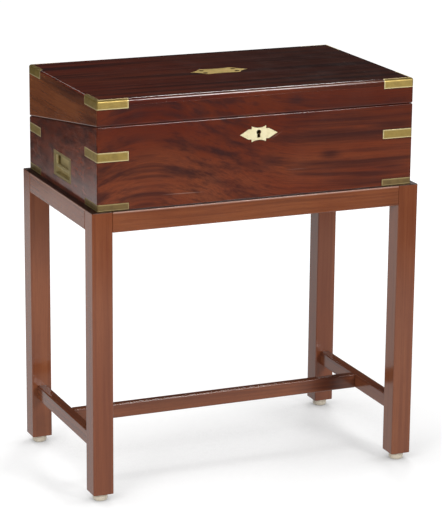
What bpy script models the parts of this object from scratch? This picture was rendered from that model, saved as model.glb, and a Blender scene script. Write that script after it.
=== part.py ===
"""Brass-bound mahogany lap desk on its square-legged stand.

The desk is a box split by a sloping seam. Its lid is hinged at the rear and folds back half a turn,
so that lid and base make one writing slope. It stands loose on a mahogany stand with an H stretcher.

Metres, +Z up, front at -Y. The origin is on the floor, under the middle of the stand.
"""

import math

import bmesh
import bpy
from mathutils import Matrix, Vector

# Fits shared by all pieces
FIT = 0.0003
RUNNING_FIT = 0.0005
CUT_MARGIN = 0.002

# The closed desk
BOX_WIDTH = 0.508
BOX_DEPTH = 0.305
BOX_HEIGHT = 0.164
SEAM_FRONT_HEIGHT = 0.125
SEAM_GAP = 0.0012
WALL = 0.013
LID_TOP_THICKNESS = 0.010
BOTTOM_THICKNESS = 0.008
CORNER_RADIUS = 0.002
TOP_RADIUS = 0.004
RIM_RADIUS = 0.0015
LEAST_RADIUS = 0.0002

# Fineness of round forms
ARC_STEPS = 4
CROWN_STEPS = 6
EDGE_STEPS = 3
ROUND_STEPS = 24
SMALL_ROUND_STEPS = 12
SHARP_ANGLE = math.radians(35.0)

# The lid's pivot
PIN_BACK = 0.0004
OPEN_LIFT = 0.0015
HINGE_SPACING = 0.300
HINGE_LENGTH = 0.050
HINGE_KNUCKLES = 5
HINGE_KNUCKLE_RADIUS = 0.003
HINGE_PIN_RADIUS = 0.0013
HINGE_LEAF_WIDTH = 0.0105
HINGE_LEAF_THICKNESS = 0.0015
HINGE_LEAF_GAP = 0.0004
HINGE_TAB_INSET = 0.0004

# Inlaid brass
BRASS = 0.0015
STRAP_ALONG_FRONT = 0.049
STRAP_ALONG_SIDE = 0.053
STRAP_HEIGHT = 0.014
FRONT_STRAP_MIDDLE = 0.0795
REAR_STRAP_MIDDLE = 0.067
LID_CORNER_WIDTH = 0.0145
BOTTOM_CORNER_WIDTH = 0.010

# Escutcheon and keyhole
ESCUTCHEON_MIDDLE = 0.0965
ESCUTCHEON_LENGTH = 0.061
ESCUTCHEON_SHOULDER_SPAN = 0.033
ESCUTCHEON_SHOULDER_HEIGHT = 0.0155
ESCUTCHEON_HORN_SPAN = 0.0235
ESCUTCHEON_HORN_HEIGHT = 0.0243
ESCUTCHEON_WAIST_HEIGHT = 0.0185
KEYHOLE_RADIUS = 0.0029
KEYHOLE_RISE = 0.0024
KEYHOLE_SLOT_WIDTH = 0.0034
KEYHOLE_SLOT_DROP = 0.0062

# Cartouche plate on the lid
CARTOUCHE_LENGTH = 0.096
CARTOUCHE_HEIGHT = 0.040
CARTOUCHE_WAIST_HEIGHT = 0.034
CARTOUCHE_PANEL_SPAN = 0.046
CARTOUCHE_LOBE_SPAN = 0.066
CARTOUCHE_LOBE_HEIGHT = 0.019
CARTOUCHE_PIERCING_RADIUS = 0.0022
CARTOUCHE_PIERCING_SPAN = 0.052
CARTOUCHE_PIERCING_HEIGHT = 0.0172

# Lock: case, sliding bolt and link plate
LOCK_WIDTH = 0.062
LOCK_HEIGHT = 0.036
LOCK_DEPTH = 0.0082
LOCK_PLATE = 0.0015
STAPLE_SPACING = 0.030
STAPLE_THICKNESS = 0.0024
STAPLE_WIDTH = 0.0052
STAPLE_LENGTH = 0.0090
STAPLE_EYE = 0.0032
LINK_PLATE_LENGTH = 0.056
LINK_PLATE_WIDTH = 0.0085
BOLT_TRAVEL = 0.005
BOLT_FINGER = 0.0018
BOLT_POST = 0.003
BOLT_BAR_HEIGHT = 0.005

# Writing flaps
FLAP_THICKNESS = 0.008
FLAP_RECESS = 0.0005
FLAP_REBATE = 0.006
LEATHER_THICKNESS = 0.0012
LEATHER_BORDER = 0.016

# Pen tray, its partition and the inkwells
TRAY_ZONE = 0.056
PARTITION = 0.008
SHELF_TOP = 0.060
SHELF_THICKNESS = 0.006
TRAY_DROP = 0.010
WELL_SIDE = 0.040
WELL_BORDER = 0.008
TROUGH_WIDTH = 0.042
TROUGH_DEPTH = 0.024
TROUGH_STEPS = 10
INKWELL_SIDE = 0.038
INKWELL_BODY_HEIGHT = 0.034
INKWELL_CORNER_RADIUS = 0.003
INKWELL_NECK_RADIUS = 0.0115
INKWELL_NECK_HEIGHT = 0.008
INKWELL_BORE_RADIUS = 0.009
INKWELL_FLOOR = 0.006
CAP_WALL = 0.0018
CAP_CROWN = 0.002
CAP_ROUND = 0.0018

# Sunk carrying handles
HANDLE_MIDDLE = 0.035
HANDLE_PLATE_WIDTH = 0.077
HANDLE_PLATE_HEIGHT = 0.0385
HANDLE_PLATE_THICKNESS = 0.0016
PAN_WIDTH = 0.064
PAN_HEIGHT = 0.030
PAN_DEPTH = 0.0085
PAN_WALL = 0.0012
BAIL_BAR = 0.0050
BAIL_THICKNESS = 0.0044
BAIL_DROP = 0.0165
BAIL_CORNER_RADIUS = 0.007
BAIL_ROUND = 0.0014
BAIL_SUNK = 0.0005
BAIL_HEADROOM = 0.0040
BAIL_PIN_RADIUS = 0.0013
BAIL_PIN_LENGTH = 0.0013

# Stand
SIDE_MARGIN = 0.010
FRONT_MARGIN = 0.0055
REAR_MARGIN = 0.0040
STAND_HEIGHT = 0.4455
LEG_SIDE = 0.032
LEG_ARRIS = 0.001
BAR_ARRIS = 0.001
RAIL_HEIGHT = 0.0315
RAIL_THICKNESS = 0.022
RAIL_SHOULDER = 0.006
TENON_SPACING = 0.002
STRETCHER_TOP = 0.0975
STRETCHER_HEIGHT = 0.0225
SIDE_STRETCHER_THICKNESS = 0.015
CENTRE_STRETCHER_THICKNESS = 0.013
STRETCHER_SHOULDER = 0.004
STRETCHER_TENON = 0.012
CENTRE_TENON = 0.008
GLIDE_RADIUS = 0.0112
GLIDE_HEIGHT = 0.011
GLIDE_ROUND = 0.003
GLIDE_STEM_RADIUS = 0.003
GLIDE_STEM_LENGTH = 0.014

# Worked out from the sizes above
STAND_WIDTH = BOX_WIDTH + 2 * SIDE_MARGIN
STAND_DEPTH = FRONT_MARGIN + BOX_DEPTH + REAR_MARGIN
RAIL_TENON = LEG_SIDE - RAIL_THICKNESS + RAIL_SHOULDER - TENON_SPACING

LEFT = -BOX_WIDTH / 2
RIGHT = BOX_WIDTH / 2
FRONT = -STAND_DEPTH / 2 + FRONT_MARGIN
REAR = FRONT + BOX_DEPTH
BOTTOM = STAND_HEIGHT + FIT
TOP = BOTTOM + BOX_HEIGHT
RIM_TOP = TOP - LID_TOP_THICKNESS - FIT
INSIDE_FRONT = FRONT + WALL
INSIDE_REAR = REAR - WALL

PIN_Y = REAR + PIN_BACK
PIN_Z = BOTTOM + (BOX_HEIGHT + OPEN_LIFT) / 2
SEAM_RISE = BOTTOM + SEAM_FRONT_HEIGHT - PIN_Z
SEAM_ANGLE = math.atan2(SEAM_RISE, PIN_Y - FRONT)
SEAM_FRAME = Matrix.Translation((0.0, PIN_Y, PIN_Z)) @ Matrix.Rotation(-SEAM_ANGLE, 4, "X")

PARTITION_FRONT = INSIDE_FRONT + TRAY_ZONE
PARTITION_REAR = PARTITION_FRONT + PARTITION
TRAY_MIDDLE = INSIDE_FRONT + TRAY_ZONE / 2
WELL_X = BOX_WIDTH / 2 - WALL - WELL_BORDER - WELL_SIDE / 2
FLAP_HALF_WIDTH = BOX_WIDTH / 2 - WALL + FLAP_REBATE - FIT

CORNERS = tuple((sx, sy) for sy in (-1, 1) for sx in (-1, 1))
SIDE_NAMES = {-1: "left", 1: "right"}
END_NAMES = {-1: "front", 1: "rear"}
WALL_NAMES = ("front", "rear", "left_end", "right_end")


def seam_z(y, offset=0.0):
    """Height of the seam's plane at y, or of a plane at that distance above it."""
    return PIN_Z + (PIN_Y - y) * math.tan(SEAM_ANGLE) + offset / math.cos(SEAM_ANGLE)


def clear_scene():
    """Start from an empty scene."""
    for thing in list(bpy.data.objects):
        bpy.data.objects.remove(thing, do_unlink=True)


def finish(name, colour, roughness, metallic=0.0, transmission=0.0):
    """A material with one colour, in linear values."""
    material = bpy.data.materials.new(name)
    material.use_nodes = True
    shader = material.node_tree.nodes["Principled BSDF"]
    shader.inputs["Base Color"].default_value = (*colour, 1.0)
    shader.inputs["Roughness"].default_value = roughness
    shader.inputs["Metallic"].default_value = metallic
    shader.inputs["Transmission Weight"].default_value = transmission
    material.diffuse_color = (*colour, 1.0)
    return material


def pivot(name, place, parent=None):
    """An empty on a joint's axis, which carries the pieces that move about it."""
    empty = bpy.data.objects.new(name, None)
    bpy.context.collection.objects.link(empty)
    empty.empty_display_size = LEG_SIDE
    empty.matrix_world = Matrix.Translation(place)
    if parent is not None:
        empty.parent = parent
        empty.matrix_parent_inverse = parent.matrix_world.inverted()
    return empty


def solid(name, bm, material=None, parent=None):
    """Turn a shape into an object, with its faces pointing out."""
    bmesh.ops.recalc_face_normals(bm, faces=bm.faces)
    mesh = bpy.data.meshes.new(name)
    bm.to_mesh(mesh)
    bm.free()
    thing = bpy.data.objects.new(name, mesh)
    bpy.context.collection.objects.link(thing)
    if material is not None:
        mesh.materials.append(material)
    if parent is not None:
        thing.parent = parent
        thing.matrix_parent_inverse = parent.matrix_world.inverted()
    return thing


def guide(name, bm):
    """A shape that only cuts or trims others."""
    thing = solid(name, bm)
    thing.hide_render = True
    thing.display_type = "WIRE"
    return thing


def combine(thing, other, operation):
    """Cut, join or trim a piece with another shape."""
    modifier = thing.modifiers.new(other.name, "BOOLEAN")
    modifier.object = other
    modifier.operation = operation
    modifier.solver = "EXACT"


def smooth(thing):
    """Shade a round piece smooth, with its sharp edges kept."""
    thing.data.shade_smooth()
    thing.data.set_sharp_from_angle(angle=SHARP_ANGLE)


def arc(centre, radius, start, end, steps=ARC_STEPS):
    """Points along a circular arc, angles in degrees."""
    angles = [math.radians(start + (end - start) * i / steps) for i in range(steps + 1)]
    return [(centre[0] + radius * math.cos(a), centre[1] + radius * math.sin(a)) for a in angles]


def rounded_rectangle(left, right, low, high, radius, steps=ARC_STEPS):
    """Outline of a rectangle with round corners, anticlockwise."""
    corners = (
        ((right - radius, low + radius), -90),
        ((right - radius, high - radius), 0),
        ((left + radius, high - radius), 90),
        ((left + radius, low + radius), 180),
    )
    return [point for centre, start in corners for point in arc(centre, radius, start, start + 90, steps)]


def loft(rings, bm=None):
    """Solid through a row of outlines that all have the same number of points."""
    bm = bm if bm is not None else bmesh.new()
    rows = [[bm.verts.new(place) for place in ring] for ring in rings]
    bm.faces.new(rows[0])
    bm.faces.new(rows[-1])
    for near, far in zip(rows, rows[1:]):
        for i in range(len(near)):
            j = (i + 1) % len(near)
            bm.faces.new((near[i], near[j], far[j], far[i]))
    return bm


def ring(outline, level, axis="z"):
    """An outline at a level along an axis; the level may be a function of the outline's point."""

    def place(a, b):
        c = level(a, b) if callable(level) else level
        return {"z": (a, b, c), "y": (a, c, b), "x": (c, a, b)}[axis]

    return [place(a, b) for a, b in outline]


def prism(outline, low, high, axis="z", bm=None):
    """Solid on an outline, between two levels."""
    return loft([ring(outline, low, axis), ring(outline, high, axis)], bm)


def quarter_round(radius, steps):
    """How far a rounded edge is drawn in, and how far it stays below its end, step by step."""
    turns = [math.pi / 2 * i / steps for i in range(steps + 1)]
    return [(radius * (1 - math.cos(t)), radius * (1 - math.sin(t))) for t in turns]


def span(middle, half):
    """Two values at the same distance on either side of a middle."""
    return (middle - half, middle + half)


def rectangle(left, right, low, high):
    """Outline of a plain rectangle, anticlockwise."""
    return [(left, low), (right, low), (right, high), (left, high)]


def box(x, y, z, bm=None):
    """Solid between two values of each coordinate."""
    return prism(rectangle(*x, *y), *z, "z", bm)


def lathe(profile, centre, bm=None, steps=ROUND_STEPS):
    """Solid of revolution about a vertical axis; the profile runs from axis to axis as (radius, z)."""
    bm = bm if bm is not None else bmesh.new()
    turns = [2 * math.pi * i / steps for i in range(steps)]
    rings = []
    for radius, z in profile:
        if radius == 0.0:
            rings.append([bm.verts.new((centre[0], centre[1], z))])
            continue
        circle = [(centre[0] + radius * math.cos(t), centre[1] + radius * math.sin(t), z) for t in turns]
        rings.append([bm.verts.new(place) for place in circle])
    for upper, lower in zip(rings, rings[1:]):
        for i in range(steps):
            j = (i + 1) % steps
            places = ((upper, i), (upper, j), (lower, j), (lower, i))
            corners = [row[k % len(row)] for row, k in places]
            bm.faces.new(list(dict.fromkeys(corners)))
    return bm


def cylinder(axis, centre, radius, low, high, bm=None, steps=ROUND_STEPS):
    """Round bar along an axis; centre gives the other two coordinates."""
    turns = [360.0 * i / steps for i in range(steps)]
    outline = [arc(centre, radius, turn, turn, 1)[0] for turn in turns]
    return prism(outline, low, high, axis, bm)


def in_seam_frame(bm):
    """Move a shape from the seam's own frame: X, distance behind the pin, height above the seam."""
    bmesh.ops.transform(bm, matrix=SEAM_FRAME, verts=bm.verts)
    return bm


def tenoned_bar(length, thickness, height, shoulder, tenon):
    """Bar along X, centred, with eased long edges and a tenon drawn out of each end."""

    def section(inset, radius):
        return rounded_rectangle(
            *span(0.0, thickness / 2 - inset), *span(0.0, height / 2 - inset), radius, EDGE_STEPS
        )

    body = section(0.0, BAR_ARRIS)
    tongue = section(shoulder, LEAST_RADIUS)
    end = length / 2
    sections = [(tongue, -end - tenon), (tongue, -end), (body, -end)]
    sections += [(body, end), (tongue, end), (tongue, end + tenon)]
    return loft([ring(outline, x, "x") for outline, x in sections])


def desk_form(inset):
    """The closed desk's outer form with its rounded arrises, drawn in all round by an inset."""
    crown = max(TOP_RADIUS - inset, LEAST_RADIUS)
    levels = [(inset, BOTTOM + inset)]
    levels += [(inset + drawn, TOP - inset - below) for drawn, below in quarter_round(crown, CROWN_STEPS)]
    rings = []
    for drawn, z in levels:
        radius = max(CORNER_RADIUS - drawn, LEAST_RADIUS)
        outline = rounded_rectangle(LEFT + drawn, RIGHT - drawn, FRONT + drawn, REAR - drawn, radius)
        rings.append(ring(outline, z))
    return loft(rings)


def mitred_wall(length, drawn):
    """Plan of one wall along the first coordinate, mitred and rounded, its outer face drawn in."""
    shift = FIT / math.sqrt(2)
    radius = max(CORNER_RADIUS - drawn, LEAST_RADIUS)
    turn = math.degrees(-math.pi / 4 - math.acos(shift / (math.sqrt(2) * radius)))
    near = arc((drawn + radius, drawn + radius), radius, turn, -90.0)
    far = [(length - a, b) for a, b in reversed(near)]
    return near + far + [(length - WALL - shift, WALL), (WALL + shift, WALL)]


def wall_plan(name, drawn=0.0):
    """Plan of a named wall of the desk, its outer face drawn in."""
    if name == "front":
        return [(LEFT + a, FRONT + b) for a, b in mitred_wall(BOX_WIDTH, drawn)]
    if name == "rear":
        return [(RIGHT - a, REAR - b) for a, b in mitred_wall(BOX_WIDTH, drawn)]
    if name == "left_end":
        return [(LEFT + b, REAR - a) for a, b in mitred_wall(BOX_DEPTH, drawn)]
    return [(RIGHT - b, FRONT + a) for a, b in mitred_wall(BOX_DEPTH, drawn)]


def desk_wall(name, side):
    """A wall on one side of the seam, from its flat edge to its rim, rounded along the outer arris."""
    rings = [ring(wall_plan(name), BOTTOM if side < 0 else RIM_TOP)]
    for drawn, below in quarter_round(RIM_RADIUS, EDGE_STEPS):
        offset = side * (SEAM_GAP / 2 + below)
        rings.append(ring(wall_plan(name, drawn), lambda x, y: seam_z(y, offset)))
    return loft(rings)


def corner_plan(sx, sy, along_front, along_side, width):
    """Plan of an angle that covers one corner of the desk, standing out past its faces."""
    out = -CUT_MARGIN
    front_leg = [(out, out), (along_front, out), (along_front, width)]
    side_leg = [(width, width), (width, along_side), (out, along_side)]
    near_y = FRONT if sy < 0 else REAR
    return [(sx * (BOX_WIDTH / 2 - p), near_y - sy * q) for p, q in front_leg + side_leg]


def corner_bands(sx, sy):
    """The brasses on one corner: name, lowest and highest level, and width of the legs in plan."""
    corner = f"{END_NAMES[sy]}_{SIDE_NAMES[sx]}"
    strap = span(BOTTOM + (FRONT_STRAP_MIDDLE if sy < 0 else REAR_STRAP_MIDDLE), STRAP_HEIGHT / 2)
    foot = (BOTTOM - CUT_MARGIN, BOTTOM + BOTTOM_CORNER_WIDTH)
    head = (TOP - LID_CORNER_WIDTH, TOP + CUT_MARGIN)
    return (
        (f"lid_corner_{corner}", *head, LID_CORNER_WIDTH),
        (f"side_strap_{corner}", *strap, WALL / 2),
        (f"foot_corner_{corner}", *foot, BOTTOM_CORNER_WIDTH),
    )


def corner_brasses(brass, base, lid):
    """Inlaid corner brasses, each a slice of the desk's skin, and the shape of their recesses."""
    skin = guide("desk_skin", desk_form(0.0))
    core = guide("desk_core", desk_form(BRASS))
    recess_core = guide("desk_recess_core", desk_form(BRASS + FIT))
    recess = bmesh.new()
    for sx, sy in CORNERS:
        for name, low, high, width in corner_bands(sx, sy):
            plan = corner_plan(sx, sy, STRAP_ALONG_FRONT, STRAP_ALONG_SIDE, width)
            parent = lid if name.startswith("lid") else base
            piece = solid(name, prism(plan, low, high), brass, parent)
            combine(piece, skin, "INTERSECT")
            combine(piece, core, "DIFFERENCE")
            wider = corner_plan(sx, sy, STRAP_ALONG_FRONT + FIT, STRAP_ALONG_SIDE + FIT, width + FIT)
            prism(wider, low - FIT, high + FIT, bm=recess)
    pockets = guide("corner_recesses", recess)
    combine(pockets, recess_core, "DIFFERENCE")
    return pockets


def escutcheon_outline(grow=0.0):
    """Lozenge with pointed ends, stepped shoulders and four horns, about its own middle."""
    tip = ESCUTCHEON_LENGTH / 2 + grow
    shoulder = (ESCUTCHEON_SHOULDER_SPAN / 2 + grow, ESCUTCHEON_SHOULDER_HEIGHT / 2 + grow)
    horn = (ESCUTCHEON_HORN_SPAN / 2 + grow, ESCUTCHEON_HORN_HEIGHT / 2 + grow)
    waist = ESCUTCHEON_WAIST_HEIGHT / 2 + grow
    sag = horn[1] - waist
    ease = [1 - i / ARC_STEPS for i in range(ARC_STEPS + 1)]
    curve = [(horn[0] * t, waist + sag * t * t) for t in ease]
    quarter = [(tip, 0.0), shoulder, (horn[0], shoulder[1])] + curve
    upper = quarter + [(-x, z) for x, z in reversed(quarter[:-1])]
    return upper + [(x, -z) for x, z in reversed(upper[1:-1])]


def keyhole_outline(grow=0.0):
    """Round hole over a straight slot, about the escutcheon's middle."""
    radius = KEYHOLE_RADIUS + grow
    half = KEYHOLE_SLOT_WIDTH / 2 + grow
    turn = math.degrees(math.asin(half / radius))
    head = arc((0.0, KEYHOLE_RISE), radius, -90.0 + turn, 270.0 - turn, 4 * ARC_STEPS)
    return head + [(-half, -KEYHOLE_SLOT_DROP - grow), (half, -KEYHOLE_SLOT_DROP - grow)]


def cartouche_outline(grow=0.0):
    """Pointed plate with a scrolled panel, a lobe beside each corner and pointed ends."""
    tip = CARTOUCHE_LENGTH / 2 + grow
    lobe = (CARTOUCHE_LOBE_SPAN / 2 + grow, CARTOUCHE_LOBE_HEIGHT / 2 + grow)
    panel = (CARTOUCHE_PANEL_SPAN / 2 + grow, CARTOUCHE_HEIGHT / 2 + grow)
    waist = CARTOUCHE_WAIST_HEIGHT / 2 + grow
    ease = [i / ARC_STEPS for i in range(ARC_STEPS + 1)]
    point = [(tip + (lobe[0] - tip) * t, lobe[1] * t * t) for t in ease]
    step = (panel[0] - lobe[0], panel[1] - lobe[1])
    neck = [(lobe[0] + step[0] * t, lobe[1] + step[1] * math.sin(math.pi / 2 * t)) for t in ease]
    crest = [(panel[0] * (1 - t), waist + (panel[1] - waist) * (1 - t) ** 2) for t in ease]
    quarter = point + neck[1:] + crest[1:]
    upper = quarter + [(-x, y) for x, y in reversed(quarter[:-1])]
    return upper + [(x, -y) for x, y in reversed(upper[1:-1])]


def moved(outline, across, up):
    """An outline shifted in its own plane."""
    return [(a + across, b + up) for a, b in outline]


def stand(wood, plastic):
    """Four legs, four rails, the H stretcher and the glides, tenoned together."""
    carrier = pivot("stand", (0.0, 0.0, 0.0))
    half_width = STAND_WIDTH / 2
    half_depth = STAND_DEPTH / 2
    rail_z = STAND_HEIGHT - RAIL_HEIGHT / 2
    stretcher_z = STRETCHER_TOP - STRETCHER_HEIGHT / 2
    stretcher_x = half_width - LEG_SIDE / 2
    between_legs_x = STAND_WIDTH - 2 * LEG_SIDE - 2 * FIT
    between_legs_y = STAND_DEPTH - 2 * LEG_SIDE - 2 * FIT

    for sx, sy in CORNERS:
        corner = f"{END_NAMES[sy]}_{SIDE_NAMES[sx]}"
        x = sx * (half_width - LEG_SIDE / 2)
        y = sy * (half_depth - LEG_SIDE / 2)
        half = LEG_SIDE / 2
        plan = rounded_rectangle(*span(x, half), *span(y, half), LEG_ARRIS)
        leg = solid(f"leg_{corner}", prism(plan, GLIDE_HEIGHT + FIT, STAND_HEIGHT), wood, carrier)

        mortises = bmesh.new()
        rail_half = RAIL_THICKNESS / 2 - RAIL_SHOULDER + FIT
        rail_up = RAIL_HEIGHT / 2 - RAIL_SHOULDER + FIT
        inner_x = half_width - LEG_SIDE
        inner_y = half_depth - LEG_SIDE
        rail_y = half_depth - RAIL_THICKNESS / 2
        rail_x = half_width - RAIL_THICKNESS / 2
        reach_x = sorted((sx * (inner_x - CUT_MARGIN), sx * (inner_x + RAIL_TENON + FIT)))
        reach_y = sorted((sy * (inner_y - CUT_MARGIN), sy * (inner_y + RAIL_TENON + FIT)))
        box(reach_x, span(sy * rail_y, rail_half), span(rail_z, rail_up), mortises)
        box(span(sx * rail_x, rail_half), reach_y, span(rail_z, rail_up), mortises)
        bar_half = SIDE_STRETCHER_THICKNESS / 2 - STRETCHER_SHOULDER + FIT
        bar_up = STRETCHER_HEIGHT / 2 - STRETCHER_SHOULDER + FIT
        reach = sorted((sy * (inner_y - CUT_MARGIN), sy * (inner_y + STRETCHER_TENON + FIT)))
        box(span(x, bar_half), reach, span(stretcher_z, bar_up), mortises)
        hole_top = GLIDE_HEIGHT + GLIDE_STEM_LENGTH + FIT
        cylinder("z", (x, y), GLIDE_STEM_RADIUS + FIT, GLIDE_HEIGHT - CUT_MARGIN, hole_top, mortises)
        combine(leg, guide(f"leg_mortises_{corner}", mortises), "DIFFERENCE")

        crown = GLIDE_HEIGHT
        edge = arc((GLIDE_RADIUS - GLIDE_ROUND, GLIDE_ROUND), GLIDE_ROUND, 0.0, -90.0)
        stem = [(0.0, crown + GLIDE_STEM_LENGTH), (GLIDE_STEM_RADIUS, crown + GLIDE_STEM_LENGTH)]
        profile = stem + [(GLIDE_STEM_RADIUS, crown), (GLIDE_RADIUS, crown)] + edge + [(0.0, 0.0)]
        smooth(solid(f"glide_{corner}", lathe(profile, (x, y)), plastic, carrier))

    for sy in (-1, 1):
        bar = tenoned_bar(between_legs_x, RAIL_THICKNESS, RAIL_HEIGHT, RAIL_SHOULDER, RAIL_TENON)
        rail = solid(f"rail_{END_NAMES[sy]}", bar, wood, carrier)
        rail.location = (0.0, sy * (half_depth - RAIL_THICKNESS / 2), rail_z)
    for sx in (-1, 1):
        bar = tenoned_bar(between_legs_y, RAIL_THICKNESS, RAIL_HEIGHT, RAIL_SHOULDER, RAIL_TENON)
        rail = solid(f"rail_{SIDE_NAMES[sx]}", bar, wood, carrier)
        rail.location = (sx * (half_width - RAIL_THICKNESS / 2), 0.0, rail_z)
        rail.rotation_euler.z = math.pi / 2

    socket = bmesh.new()
    socket_half = CENTRE_STRETCHER_THICKNESS / 2 - STRETCHER_SHOULDER + FIT
    socket_up = STRETCHER_HEIGHT / 2 - STRETCHER_SHOULDER + FIT
    inner = stretcher_x - SIDE_STRETCHER_THICKNESS / 2
    for sx in (-1, 1):
        reach = sorted((sx * (inner - CUT_MARGIN), sx * (inner + CENTRE_TENON + FIT)))
        box(reach, span(0.0, socket_half), span(stretcher_z, socket_up), socket)
    sockets = guide("stretcher_mortises", socket)
    side_bar = (between_legs_y, SIDE_STRETCHER_THICKNESS, STRETCHER_HEIGHT)
    for sx in (-1, 1):
        bar = tenoned_bar(*side_bar, STRETCHER_SHOULDER, STRETCHER_TENON)
        side = solid(f"stretcher_{SIDE_NAMES[sx]}", bar, wood, carrier)
        side.location = (sx * stretcher_x, 0.0, stretcher_z)
        side.rotation_euler.z = math.pi / 2
        combine(side, sockets, "DIFFERENCE")
    centre_bar = (2 * (inner - FIT), CENTRE_STRETCHER_THICKNESS, STRETCHER_HEIGHT)
    bar = tenoned_bar(*centre_bar, STRETCHER_SHOULDER, CENTRE_TENON)
    solid("stretcher_centre", bar, wood, carrier).location = (0.0, 0.0, stretcher_z)
    return carrier


def seam_reach(low, high, front_limit, rear_limit):
    """Reach of a board along the seam between two upright faces, for its levels above the seam."""
    lean = [level * math.sin(SEAM_ANGLE) for level in (low, high)]
    rear = -(PIN_Y - rear_limit + FIT + max(lean)) / math.cos(SEAM_ANGLE)
    front = -(PIN_Y - front_limit - FIT + min(lean)) / math.cos(SEAM_ANGLE)
    return front, rear


def writing_flap(name, side, front_limit, wood, leather, parent):
    """A board with its inset leather, on the given side of the seam; returns the shape of its rebate."""
    face = side * (SEAM_GAP / 2 + FLAP_RECESS)
    back = side * (SEAM_GAP / 2 + FLAP_RECESS + FLAP_THICKNESS)
    low, high = sorted((face, back))
    front, rear = seam_reach(low, high, front_limit, INSIDE_REAR)
    plank = box(span(0.0, FLAP_HALF_WIDTH), (front, rear), (low, high))
    board = solid(f"{name}_flap", in_seam_frame(plank), wood, parent)

    inner = FLAP_HALF_WIDTH - LEATHER_BORDER
    bed = face + side * (LEATHER_THICKNESS + FIT)
    reach = (front + LEATHER_BORDER, rear - LEATHER_BORDER)
    hollow = box(span(0.0, inner), reach, sorted((face - side * CUT_MARGIN, bed)))
    combine(board, guide(f"{name}_leather_bed", in_seam_frame(hollow)), "DIFFERENCE")

    hide_levels = sorted((face, face + side * LEATHER_THICKNESS))
    hide = box(span(0.0, inner - FIT), (reach[0] + FIT, reach[1] - FIT), hide_levels)
    solid(f"{name}_leather", in_seam_frame(hide), leather, parent)

    rebate = bmesh.new()
    rebate_levels = sorted((back + side * FIT, -side * CUT_MARGIN))
    inside = BOX_WIDTH / 2 - WALL
    for sx in (-1, 1):
        reach_x = sorted((sx * (inside - CUT_MARGIN), sx * (inside + FLAP_REBATE)))
        box(reach_x, (front - FIT, rear + FIT), rebate_levels, rebate)
    return guide(f"{name}_rebates", in_seam_frame(rebate))


def hinges(brass, base, lid):
    """Two butt hinges let into the seam's rear edge; returns the shapes of leaf and knuckle recesses."""
    leaf_beds = bmesh.new()
    knuckle_beds = bmesh.new()
    step = HINGE_LENGTH / HINGE_KNUCKLES
    leaf_low = HINGE_LEAF_GAP / 2
    leaf_high = leaf_low + HINGE_LEAF_THICKNESS
    clear = HINGE_KNUCKLE_RADIUS + RUNNING_FIT
    for sx in (-1, 1):
        ends = span(sx * HINGE_SPACING / 2, HINGE_LENGTH / 2)
        for side, half, parent in ((-1, "base", base), (1, "lid", lid)):
            holds_pin = half == "base"
            levels = sorted((side * leaf_low, side * leaf_high))
            rolls = bmesh.new()
            comb = [(ends[1], -clear), (ends[1], -HINGE_LEAF_WIDTH)]
            comb += [(ends[0], -HINGE_LEAF_WIDTH), (ends[0], -clear)]
            for i in range(HINGE_KNUCKLES):
                if (i % 2 == 0) == holds_pin:
                    reach = span(ends[0] + (i + 0.5) * step, (step - FIT) / 2)
                    cylinder("x", (0.0, 0.0), HINGE_KNUCKLE_RADIUS, *reach, bm=rolls)
                    tab = (reach[0] + HINGE_TAB_INSET, reach[1] - HINGE_TAB_INSET)
                    comb += [(tab[0], -clear), (tab[0], -HINGE_PIN_RADIUS)]
                    comb += [(tab[1], -HINGE_PIN_RADIUS), (tab[1], -clear)]
            plate = in_seam_frame(prism(comb, *levels))
            leaf = solid(f"hinge_{half}_leaf_{SIDE_NAMES[sx]}", plate, brass, parent)
            combine(leaf, guide(f"{leaf.name}_knuckles", in_seam_frame(rolls)), "UNION")
            radius = HINGE_PIN_RADIUS if holds_pin else HINGE_PIN_RADIUS + FIT
            over = -FIT if holds_pin else CUT_MARGIN
            pin = cylinder("x", (0.0, 0.0), radius, ends[0] - over, ends[1] + over)
            pin_guide = guide(f"{leaf.name}_pin", in_seam_frame(pin))
            combine(leaf, pin_guide, "UNION" if holds_pin else "DIFFERENCE")
        bed = (ends[0] - FIT, ends[1] + FIT)
        box(bed, (-HINGE_LEAF_WIDTH - FIT, CUT_MARGIN), (-leaf_high - FIT, leaf_high + FIT), leaf_beds)
        cylinder("x", (0.0, 0.0), HINGE_KNUCKLE_RADIUS + FIT, *bed, bm=knuckle_beds)
    return (
        guide("hinge_leaf_beds", in_seam_frame(leaf_beds)),
        guide("hinge_knuckle_beds", in_seam_frame(knuckle_beds)),
    )


def staple_eye():
    """Middle of the staples' eyes, as y and z, in the middle of the lock's room."""
    y = INSIDE_FRONT - (LOCK_DEPTH + LOCK_PLATE) / 2
    return y, seam_z(y, STAPLE_EYE - STAPLE_LENGTH)


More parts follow.
